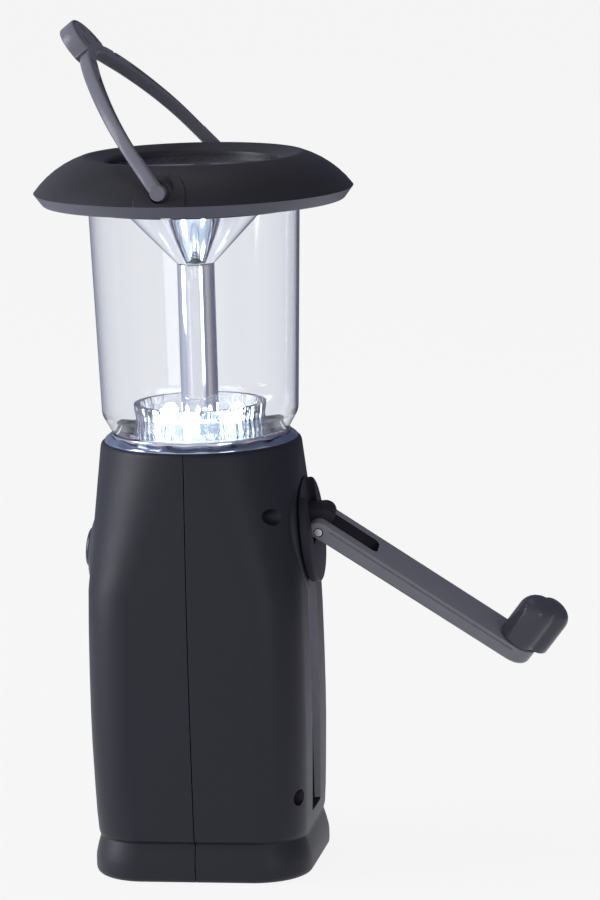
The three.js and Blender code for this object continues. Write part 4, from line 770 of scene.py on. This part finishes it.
# The lamp: a bright dished tray, a round board, six lamps, a clear faceted ring round them and a
# chromed tube up the middle. The tray clips into the body's deck and the rest is glued in it.
def clear_plastic(name, colour, roughness, ripple, ripple_scale, upright=0.1, bend=1.49):
    """Clear moulded plastic which lets the lamps through, with faint upright flow lines."""
    material = empty_material(name)
    place = node(material, "TexCoord")
    stretch = node(material, "Mapping", {"Scale": (1, 1, upright)})
    flow = node(material, "TexNoise", {"Scale": ripple_scale, "Detail": 3})
    relief = node(material, "Bump", {"Distance": ripple * mm})
    haze = node(material, "MapRange", {
        "From Min": 0.45, "From Max": 0.8, "To Min": roughness, "To Max": roughness + 0.06})
    shader = node(material, "BsdfPrincipled", {
        "Base Color": (*colour, 1), "Transmission Weight": 1, "IOR": bend})
    see = node(material, "BsdfTransparent", {"Color": (0.93, 0.94, 0.96, 1)})
    way = node(material, "LightPath")
    mix = node(material, "MixShader")
    wire(material,
         (place, "Object", stretch, "Vector"),
         (stretch, 0, flow, "Vector"),
         (flow, "Fac", relief, "Height"),
         (flow, "Fac", haze, "Value"),
         (haze, 0, shader, "Roughness"),
         (relief, "Normal", shader, "Normal"),
         (way, "Is Shadow Ray", mix, "Fac"),
         (shader, 0, mix, 1),
         (see, 0, mix, 2),
         (mix, 0, "output", "Surface"))
    return material


bright_tray = metal("bright_tray", (0.6, 0.59, 0.68), 0.13, 0.05, 260)
board_white = plastic("board_white", (0.66, 0.68, 0.72), 0.35, 0.6, 0.004, wear=0.0)
post_chrome = metal("post_chrome", (0.86, 0.87, 0.9), 0.05, 0.03, 260)
lens_clear = clear_plastic("lens_clear", (0.9, 0.93, 0.98), 0.0, 0.7, 420, upright=0.35)
flute_in, flute_out, flute_count, flute_high = 21.2, 27.8, 12, 0.35
tray = spun("lamp_dish", [
    (3, 133.5), (3, 135.5), (20.9, 135.5), (20.9, 137.1, 0.3), (28.2, 138.6, 0.25), (28.2, 137.6),
    (26.9, 136.1), (25.4, 136.1), (25.4, 133.3), (27.8, 133.3), (27.8, 131.5), (20.9, 131.5),
    (20.9, 133.5)], around=192)
for v in tray.data.vertices:
    out = v.co.xy.length / mm
    if flute_in < out < flute_out and v.co.z > 136.5 * mm:
        wave = 1 + math.cos(flute_count * math.atan2(v.co.y, v.co.x))
        v.co.z += flute_high * mm * wave * math.sin((out - flute_in) / (flute_out - flute_in) * math.pi)
finished(tray, "lamp_dish", bright_tray, "lantern", ["lamp_tray"])
# A bluish bright metal ring with a wavy top, added on the deck round the tray: painted glow standing in for
# the lamps' light spilling onto the deck.
painted_glow_metal = metal("painted_glow_metal", (0.37, 0.43, 0.6), 0.12, 0.05, 260)
glow_piece = spun("deck_glow_ring", [
    (28.35, 137.9, 0.2), (30.5, 136.2, 0.2), (30.5, 135.85), (28.35, 135.85)], around=160)
glow_waves, glow_wave_high = 18, 0.22
for v in glow_piece.data.vertices:
    if v.co.z > 136.1 * mm:
        v.co.z += glow_wave_high * mm * math.cos(glow_waves * math.atan2(v.co.y, v.co.x))
finished(glow_piece, "deck_glow_ring", painted_glow_metal, "lantern", [])
dress(["lamp_board"], board_white)
lamp_glow = empty_material("lamp_glow")
lamp_shader = node(lamp_glow, "BsdfPrincipled", {"Roughness": 0.1, "Emission Strength": 9})
lamp_place = node(lamp_glow, "TexCoord")
lamp_mottle = node(lamp_glow, "TexNoise", {"Scale": 700})
lamp_tone = node(lamp_glow, "Mix", {"A": (0.72, 0.86, 1, 1), "B": (0.9, 0.96, 1, 1)}, data_type="RGBA")
lamp_height = node(lamp_glow, "SeparateXYZ")
lamp_rise = node(lamp_glow, "MapRange", {
    "From Min": 139 * mm, "From Max": 145.5 * mm}, interpolation_type="SMOOTHSTEP")
lamp_light = node(lamp_glow, "Mix", {"A": (0.05, 0.065, 0.085, 1)}, data_type="RGBA")
wire(lamp_glow,
     (lamp_place, "Object", lamp_mottle, "Vector"),
     (lamp_mottle, "Fac", lamp_tone, "Factor"),
     (lamp_place, "Object", lamp_height, 0),
     (lamp_height, "Z", lamp_rise, "Value"),
     (lamp_rise, 0, lamp_light, "Factor"),
     (lamp_tone, "Result", lamp_light, "B"),
     (lamp_light, "Result", lamp_shader, "Emission Color"),
     (lamp_tone, "Result", lamp_shader, "Base Color"),
     (lamp_shader, 0, "output", "Surface"))
lamp_ring_r, lamp_count, lamp_foot_z = 12.525, 6, 137.5
for count in range(lamp_count):
    angle = math.radians(60 * count + 30)
    place = placed(lamp_ring_r * math.cos(angle), lamp_ring_r * math.sin(angle), lamp_foot_z)
    lamp = spun(f"lamp_bulb_{count + 1}", [
        (0, 0), (2.9, 0), (2.9, 1, 0.2), (2.5, 1), (2.5, 6.1), ("turn", 0, 6.1, 90)],
        place=place, around=32)
    finished(lamp, f"lamp_bulb_{count + 1}", lamp_glow, "lantern", [f"lamp_{count + 1}"])
lens_faces, lens_inner = 24, 19.1
ring = spun("lens_ring", [
    (18.3, 138), (20.3, 138), (20.75, 140.6), (20.35, 143.2), (20.85, 145.6), (21, 147.4),
    (19, 147.4), (18.1, 144.8), (18.5, 141)], around=lens_faces)
half_face = Matrix.Rotation(math.pi / lens_faces, 4, "Z")
for v in ring.data.vertices:
    if v.co.xy.length < lens_inner * mm:
        v.co = half_face @ v.co
finished(ring, "lens_facets", lens_clear, "lantern", ["lens_ring"], sharp=10)
tube = spun("post_tube", [(4.85, 135.8), (5.85, 135.8), (5.85, 191.2, 0.3), (4.85, 191.2, 0.3)], around=96)
finished(tube, "post_tube", post_chrome, "lantern", ["center_post"])


# The globe. It is a clear moulded sleeve, drawn in at its foot, held between the tray's lip and the
# collar under the hood.
globe_clear = clear_plastic("globe_clear", (0.92, 0.93, 0.955), 0.0, 0.05, 60, bend=1.35)
globe = spun("clear_globe", [
    (27.9, 139.1, 0.3), (30.9, 144.4, 1.2), (33.1, 211), (32.3, 211), (30.1, 144.9, 1), (27.1, 139.6),
    (26.9, 139.1)], around=160)
finished(globe, "clear_globe", globe_clear, "lantern", ["globe"])


# The hood: the domed shell with its well and ears, the plate under it that holds the globe, the
# bright cone, the solar cell under its window, and three screws from below. The shell and the plate
# are moulded in black ABS, the cone is vacuum plated, and the window is glued in the well.
def on_dome(radius, degrees):
    """A point of the hood's outline, at that radius and angle about the dome's centre."""
    return (arc_across + radius * math.cos(math.radians(degrees)),
            arc_up + radius * math.sin(math.radians(degrees)))


def span(side, near, far):
    """Both ends of a stretch between near and far on one side, the lower first."""
    return sorted((side * near, side * far))


hood_turn = turned(-2, "Z")
hood_black = plastic("hood_black", (0.0135, 0.0133, 0.018), 0.44, 0.36, 0.005, edge=0.3, gleam=0.42)
# rim band: a paler, bluish copy of the hood's black, painted light for the glow from below
rim_painted_light = plastic("rim_painted_light", (0.07, 0.07, 0.1), 0.4, 0.36, 0.004, wear=0.1, edge=0.2)
cone_chrome = metal("cone_chrome", (0.95, 0.95, 0.97), 0.06, 0.03, 260, drift=0.03)
window_clear = clear_plastic("window_clear", (0.7, 0.68, 0.7), 0.02, 0.002, 300, upright=1)
arc_across, arc_up, dome_r, hood_wall = 25.7, 196.77, 30.2, 2
hood_low_z, rim_z, well_floor_z, pin_z = 211, 214.7, 219.5, 219
rim_angle = math.degrees(math.atan2(rim_z - arc_up, 50 - arc_across))
lip_angle, lip_end, inner_end = 71.53, 105, 72.9
hood_outline = [
    (0, hood_low_z), (47.2, hood_low_z, 0.4), (49.96, rim_z),
    ("turn", arc_across, arc_up, lip_angle - rim_angle), ("turn", 34, 221.62, lip_end - lip_angle),
    (27.8, 224.1, 0.3), (27, 223.3, 0.3), (27, well_floor_z), (0, well_floor_z)]
shell = spun("hood", hood_outline, around=192)
inside_hood = spun("inside", [
    (0, 208), (45.2, 208), (45.2, hood_low_z), on_dome(dome_r - hood_wall, rim_angle),
    ("turn", arc_across, arc_up, inner_end - rim_angle), (29, 221.9), (29, 217.5), (0, 217.5)], around=96)
boss_low_z, boss_spread, boss_r = 213.6, 38.6, 3.2
boss_turns = [math.radians(30 + 120 * count) for count in range(3)]
keep_bosses = [rod(boss_r, boss_low_z, 228, along="Z", points=32,
                   place=(boss_spread * math.cos(turn), boss_spread * math.sin(turn))) for turn in boss_turns]
backs = [worked(rod(8.4, *span(side, 42.2, 60), place=(0, pin_z), along="Y", points=64),
                [block((-60, -60, boss_low_z), (60, 60, 240))], "INTERSECT") for side in (-1, 1)]
inside_hood = worked(inside_hood, keep_bosses + backs)
shell = worked(shell, [inside_hood])
pad_reach, pad_rise, pad_z = 8.1, 0.4, 216.5
for side in (-1, 1):
    grown = spun("grown", [
        (30, rim_z), (50.1, rim_z), on_dome(dome_r + pad_rise, rim_angle + 3),
        ("turn", arc_across, arc_up, 40), (30, 222)], around=192)
    pad = rod(pad_reach, *span(side, 41, 52), place=(0, pad_z), along="Y", points=96)
    pad = worked(pad, [grown], "INTERSECT")
    boss = spun("boss", [(0, 40), (4.3, 40, 0.5), (4.1, 46, 0.8), (3.4, 46.6, 0.3), (0, 46.6)],
                place=placed(0, 0, pin_z) @ turned(-90 * side, "X"), around=64)
    shell = worked(shell, [pad, boss], "UNION")
# At each ear, the seat of the bail's leg, the hole of its pin and the rest of the retainer
ear_cuts = [rod(radius, *span(side, near, far), place=(0, pin_z), along="Y", points=points)
            for radius, near, far, points in ((3.2, 46.65, 60, 64), (2.1, 39, 60, 48), (3.6, 38.5, 42.2, 48))
            for side in (-1, 1)]
shell = worked(shell, ear_cuts)
shell.data.transform(hood_turn)
finished(shell, "hood_dome", hood_black, "lantern", ["hood_shell"])
# The rim band's faces that look down take the paler copy: painted light standing in for light from the floor
# and lamps below.
shell.data.materials.append(rim_painted_light)
for face in shell.data.polygons:
    if face.center.xy.length > 46 * mm and face.normal.z < -0.3 and face.center.z < rim_z * mm + 0.1 * mm:
        face.material_index = 1
plate = spun("under_plate", [
    (3, 211.3), (33.4, 211.3), (33.4, 209.1, 0.3), (35, 209.1, 0.4), (35.3, 211.3), (44.9, 211.3),
    (44.9, 213.3), (3, 213.3)], around=160)
finished(plate, "under_plate", hood_black, "lantern", ["hood_under_plate"])
cone = spun("bright_cone", [
    (2.6, 186), (4.5, 186), (4.5, 191.5), (6.1, 191.5, 0.3), (23.4, 209.6, 1), (30.6, 209.6), (30.6, 211),
    (22.8, 211), (3.8, 192.7), (2.6, 191.5)], around=160)
finished(cone, "bright_cone", cone_chrome, "lantern", ["upper_reflector"])
solar_brown = empty_material("solar_brown")
cell_place = node(solar_brown, "TexCoord")
cell_lines = node(solar_brown, "TexWave", {"Scale": 110}, bands_direction="X")
cell_bars = node(solar_brown, "TexWave", {"Scale": 22}, bands_direction="Y")
cell_fine = node(solar_brown, "MapRange", {"From Min": 0.93})
cell_wide = node(solar_brown, "MapRange", {"From Min": 0.985})
cell_both = node(solar_brown, "Math", operation="MAXIMUM")
cell_grain = node(solar_brown, "TexVoronoi", {"Scale": 300})
cell_face = node(solar_brown, "Mix", {
    "A": (0.016, 0.008, 0.014, 1), "B": (0.03, 0.014, 0.024, 1)}, data_type="RGBA")
cell_paint = node(solar_brown, "Mix", {"B": (0.09, 0.07, 0.07, 1)}, data_type="RGBA")
cell_shader = node(solar_brown, "BsdfPrincipled")
cell_gloss = node(solar_brown, "MapRange", {"To Min": 0.18, "To Max": 0.4})
cell_relief = node(solar_brown, "Bump", {"Distance": 0.02 * mm})
wire(solar_brown,
     (cell_place, "Object", cell_lines, "Vector"),
     (cell_place, "Object", cell_bars, "Vector"),
     (cell_place, "Object", cell_grain, "Vector"),
     (cell_lines, "Fac", cell_fine, "Value"),
     (cell_bars, "Fac", cell_wide, "Value"),
     (cell_fine, 0, cell_both, 0),
     (cell_wide, 0, cell_both, 1),
     (cell_grain, "Distance", cell_face, "Factor"),
     (cell_face, "Result", cell_paint, "A"),
     (cell_both, 0, cell_paint, "Factor"),
     (cell_paint, "Result", cell_shader, "Base Color"),
     (cell_both, 0, cell_gloss, "Value"),
     (cell_gloss, 0, cell_shader, "Roughness"),
     (cell_both, 0, cell_relief, "Height"),
     (cell_relief, "Normal", cell_shader, "Normal"),
     (cell_shader, 0, "output", "Surface"))
panel = spun("solar_disc", [(0, 219.8), (26.5, 219.8), (26.5, 221, 0.2), (0, 221)], around=96)
finished(panel, "solar_disc", solar_brown, "lantern", ["solar_panel"])
window = spun("window_disc", [(0, 221.3), (26.5, 221.3), (26.5, 222.3, 0.3), (0, 222.3)], around=96)
finished(window, "window_disc", window_clear, "lantern", ["solar_window"])
for name in ("hood_screw_1", "hood_screw_2", "hood_screw_3"):
    crossed(name, "Z", cover_steel)


# The bail handle. It is one glossy moulding: two bowed legs with a groove down each, a thicker grip
# cored from one side, and two pins that snap through the hood's ears and are held by steel rings.
def beam(name, rows, rounding, levels=2):
    """A bar through rows of four corners each, with its long edges rounded and its sides smoothed."""
    bm = bmesh.new()
    face = bm.faces.new([bm.verts.new(Vector(corner) * mm) for corner in rows[0]])
    for row in rows[1:]:
        face = bmesh.ops.extrude_discrete_faces(bm, faces=[face])["faces"][0]
        for v, corner in zip(face.verts, row):
            v.co = Vector(corner) * mm
    close(bm, sides=4)
    bmesh.ops.recalc_face_normals(bm, faces=bm.faces)
    long_edges = [edge for edge in bm.edges if edge.calc_face_angle(0) > math.radians(50)]
    bevel(bm, long_edges, rounding, steps=2)
    bar = made(name, bm)
    smooth = bar.modifiers.new("smooth", "SUBSURF")
    smooth.levels = smooth.render_levels = levels
    return settle(bar)


bail_black = plastic("bail_black", (0.15, 0.148, 0.178), 0.24, 0.9, 0.003, edge=0.35, gleam=0.22)
bail_place = hood_turn @ placed(0, 0, pin_z) @ turned(-39, "Y")
bail_half = 2.2
outer_line = [
    (50.2, 0), (50.1, 2), (49.2, 5), (47.5, 8.5), (46.1, 12), (44.5, 16), (42.6, 20), (40.4, 24),
    (37.5, 28), (34, 32), (30.1, 36), (25.7, 40), (20.6, 44), (14.8, 47.6), (9.2, 50.6)]
inner_line = [
    (47, 0), (47, 2), (46.8, 4.4), (45.6, 8), (44.1, 12), (42.2, 16), (39.8, 20), (36.7, 24),
    (33, 28), (28.6, 32), (23.6, 36), (18.1, 40), (11.3, 44), (6.6, 46.9), (0, 49.4)]
groove_in, groove_share = 1.3, 0.27
bail_parts = []
for side in (-1, 1):
    leg = beam("leg", [
        [(-bail_half, side * o[0], o[1]), (bail_half, side * o[0], o[1]),
         (bail_half, side * i[0], i[1]), (-bail_half, side * i[0], i[1])]
        for o, i in zip(outer_line, inner_line)], 1.0)
    rows = [[(x, side * (o[0] + (i[0] - o[0]) * part), o[1] + (i[1] - o[1]) * part)
             for x, part in ((groove_in, groove_share), (4, groove_share), (4, 1 - groove_share),
                             (groove_in, 1 - groove_share))]
            for o, i in list(zip(outer_line, inner_line))[4:12]]
    bail_parts.append(worked(leg, [beam("groove", rows, 0.15, levels=1)]))
    bail_parts.append(rod(2.4, *span(side, 46.9, 50.2), along="Y", points=48))
    bail_parts.append(rod(1.8, *span(side, 39.9, 49), along="Y", points=48))
grip_r, grip_z = 8.8, 52.2
grip = slab("grip", [
    (grip_r, grip_z), ("turn", 0, grip_z, 180), (-8.9, 50.9), (-9.2, 50.6), (-6.6, 46.9, 1), (0, 49.4, 3),
    (6.6, 46.9, 1), (9.2, 50.6), (8.9, 50.9)], -2.4, 3.3, place=turned(90, "Z"), edge=0.7)
bail = worked(grip, bail_parts, "UNION")
pockets = [block((-0.6, *low), (4, *high), corner=0.3) for low, high in (
    ((0.6, 55.9), (2.1, 58.7)), ((-4.7, 51.2), (-3.2, 54.8)), ((4.9, 51.4), (7.8, 54.8)),
    ((-15, 43.7), (-13.1, 46.6)), ((13.9, 44.2), (16.6, 46.6)))]
rim_line = worked(rod(8.15, 1.9, 4, place=(0, grip_z), along="X", points=96), [
    rod(7.75, 1, 5, place=(0, grip_z), along="X", points=96), block((0, -20, 30), (6, 20, 51.5))])
bail = worked(bail, pockets + [rim_line])
bail.data.transform(bail_place)
finished(bail, "bail_bow", bail_black, "bail", ["bail_handle"])
dress(["bail_retainer_front", "bail_retainer_rear"], pressed_steel)


# The crank: the hub on its shaft, a pin through its tongue, the folding arm and a two-lobed knob that
# turns on a steel rivet. All are glossy moulded black but the pin and the rivet.
hub_spin = hub_place @ turned(14.15, "X")
hub_axis = hub_spin @ turned(90, "Y")
hinge_x, hinge_z, hinge_bore_r = 4.6, 1.97, 1.55
tongue_half = 3.7
hub = spun("hub", [(0, 0.3), (16.6, 0.3, 0.2), (16.6, 2.9, 0.6), (0, 2.9)], place=hub_axis, around=128)
hub = worked(hub, [block((0.9, -8.1, -1.9), (5, 8.1, 20), corner=0.3, frame_of=hub_spin)])
tongue = slab("tongue", [
    (0.1, -1.23), (hinge_x, -1.23), ("turn", hinge_x, hinge_z, 90), (8.6, 4.17), (9.6, 4.4), (9.6, 5),
    ("turn", 6.4, 5, 90), (0.1, 8.2)], -tongue_half, tongue_half, place=hub_spin, edge=0.5)
axle = rod(3, -20.4, 0.6, frame_of=hub_spin, points=48)
hub = worked(hub, [tongue, axle], "UNION")
hub = worked(hub, [
    rod(hinge_bore_r, -8.1, 8.1, place=(hinge_x, hinge_z), along="Y", frame_of=hub_spin, points=32),
    rod(1.2, -21, -14, frame_of=hub_spin, points=24)])
hub_black = plastic("hub_black", (0.017, 0.016, 0.024), 0.55, 0.5, 0.004, wear=0.6, edge=0.3, gleam=0.2)
# arm: painted mid grey, a painted reflection of the bright floor in its glossy black faces
arm_painted_sheen = plastic("arm_painted_sheen", (0.2, 0.197, 0.225), 0.3, 0.9, 0.003, edge=0.35, gleam=0.3)
knob_black = plastic("knob_black", (0.06, 0.06, 0.078), 0.2, 0.9, 0.003, edge=0.35, gleam=0.25)
finished(hub, "hub_disc", hub_black, "crank", ["crank_hub"])
dress(["hinge_pin", "knob_rivet"], pressed_steel)
arm_place = hub_spin @ placed(hinge_x, 0, hinge_z) @ turned(41.3, "Y")
arm_low, arm_high, arm_half, arm_tip, rivet_x = -2.2, 3.4, 7.7, 71.6, 74.3
side_view = slab("arm", [
    (0, arm_high), ("turn", 0, 0, 130), (2.2, arm_low, 1), (79.3, arm_low), (79.3, arm_high)], -9, 9)
flat = turned(90, "X")
plan = slab("plan", [
    (-6, arm_half), (-6, -arm_half), (arm_tip, -arm_half), ("turn", arm_tip, 0, 180)], -5, 5, place=flat)
arm = worked(side_view, [plan], "INTERSECT")
bm = bmesh.new()
bm.from_mesh(arm.data)
bmesh.ops.dissolve_limit(bm, angle_limit=math.radians(0.5), verts=bm.verts, edges=bm.edges)
for level, rounding, steps in ((arm_low, 1.7, 5), (arm_high, 0.4, 3)):
    rim = [edge for edge in bm.edges if edge.calc_face_angle(0) > math.radians(60)
           and all(abs(v.co.z - level * mm) < 0.05 * mm for v in edge.verts)]
    bevel(bm, rim, rounding, steps=steps)
bm.to_mesh(arm.data)
bm.free()
fork_half, fork_end = 4, 19.5
fork = slab("fork", [
    (-6, fork_half), (-6, -fork_half), (15.5, -fork_half), (fork_end, -fork_half, 2),
    (fork_end, fork_half, 2), (15.5, fork_half)], -6, 6, place=flat)
line_low, line_high = 1.9, 2.4
lines = []
for side in (-1, 1):
    near, far = span(side, 7.35, 9)
    lines.append(block((3, near, line_low), (arm_tip, far, line_high)))
arm = worked(arm, [fork] + lines + [
    rod(hinge_bore_r, -9, 9, along="Y", points=32), rod(1.6, -3, 4, place=(rivet_x, 0), along="Z", points=32),
    rod(3.3, -3, -0.8, place=(rivet_x, 0), along="Z", points=48)])
finished(arm, "arm_bar", arm_painted_sheen, "crank_lever", ["crank_arm"])
# The fork's slot walls take the hub's plain black. This is darker than the arm's painted grey, so it reads as
# painted shade in the slot.
arm.data.materials.append(hub_black)
for face in arm.data.polygons:
    middle = face.center / mm
    in_fork = middle.x < fork_end + 0.1 and abs(middle.y) < fork_half + 0.1
    if in_fork and abs(face.normal.z) < 0.5:
        face.material_index = 1
arm.data.transform(arm_place)
knob_place = arm_place @ placed(rivet_x, 0, 3.7) @ turned(37, "Z")
knob_levels = [(5.8, 3.1, 0), (6, 3.2, 0.4), (6, 3.2, 4), (6, 3.2, 8), (6, 3.2, 10.9), (5.93, 3.17, 11.9),
               (5.67, 3.1, 12.9), (5.2, 2.95, 13.9), (4.6, 2.7, 14.7), (3.75, 2.3, 15.4), (2.6, 1.6, 15.9),
               (1.2, 0.8, 16.2), (0.4, 0.2, 16.3)]
bm = bmesh.new()
rings = []
for reach, shift, z in knob_levels:
    ring = bmesh.ops.create_circle(bm, cap_ends=False, segments=96, radius=reach * mm)["verts"]
    for v in ring:
        turn = math.atan2(v.co.y, v.co.x)
        apart = shift * (math.sqrt(math.cos(turn) ** 2 + 0.012) - 0.05)
        far = apart + math.sqrt(reach ** 2 - (shift * math.sin(turn)) ** 2)
        v.co = Vector((far * math.cos(turn), far * math.sin(turn), z)) * mm
    rings.append(list({edge for v in ring for edge in v.link_edges}))
skin(bm, rings)
knob = made("knob", bm)
knob = worked(knob, [rod(2.2, -1, 12, along="Z", points=32), rod(2.9, 8.7, 11.3, along="Z", points=32)])
knob.data.transform(knob_place)
finished(knob, "knob_grip", knob_black, "crank_knob", ["knob"])
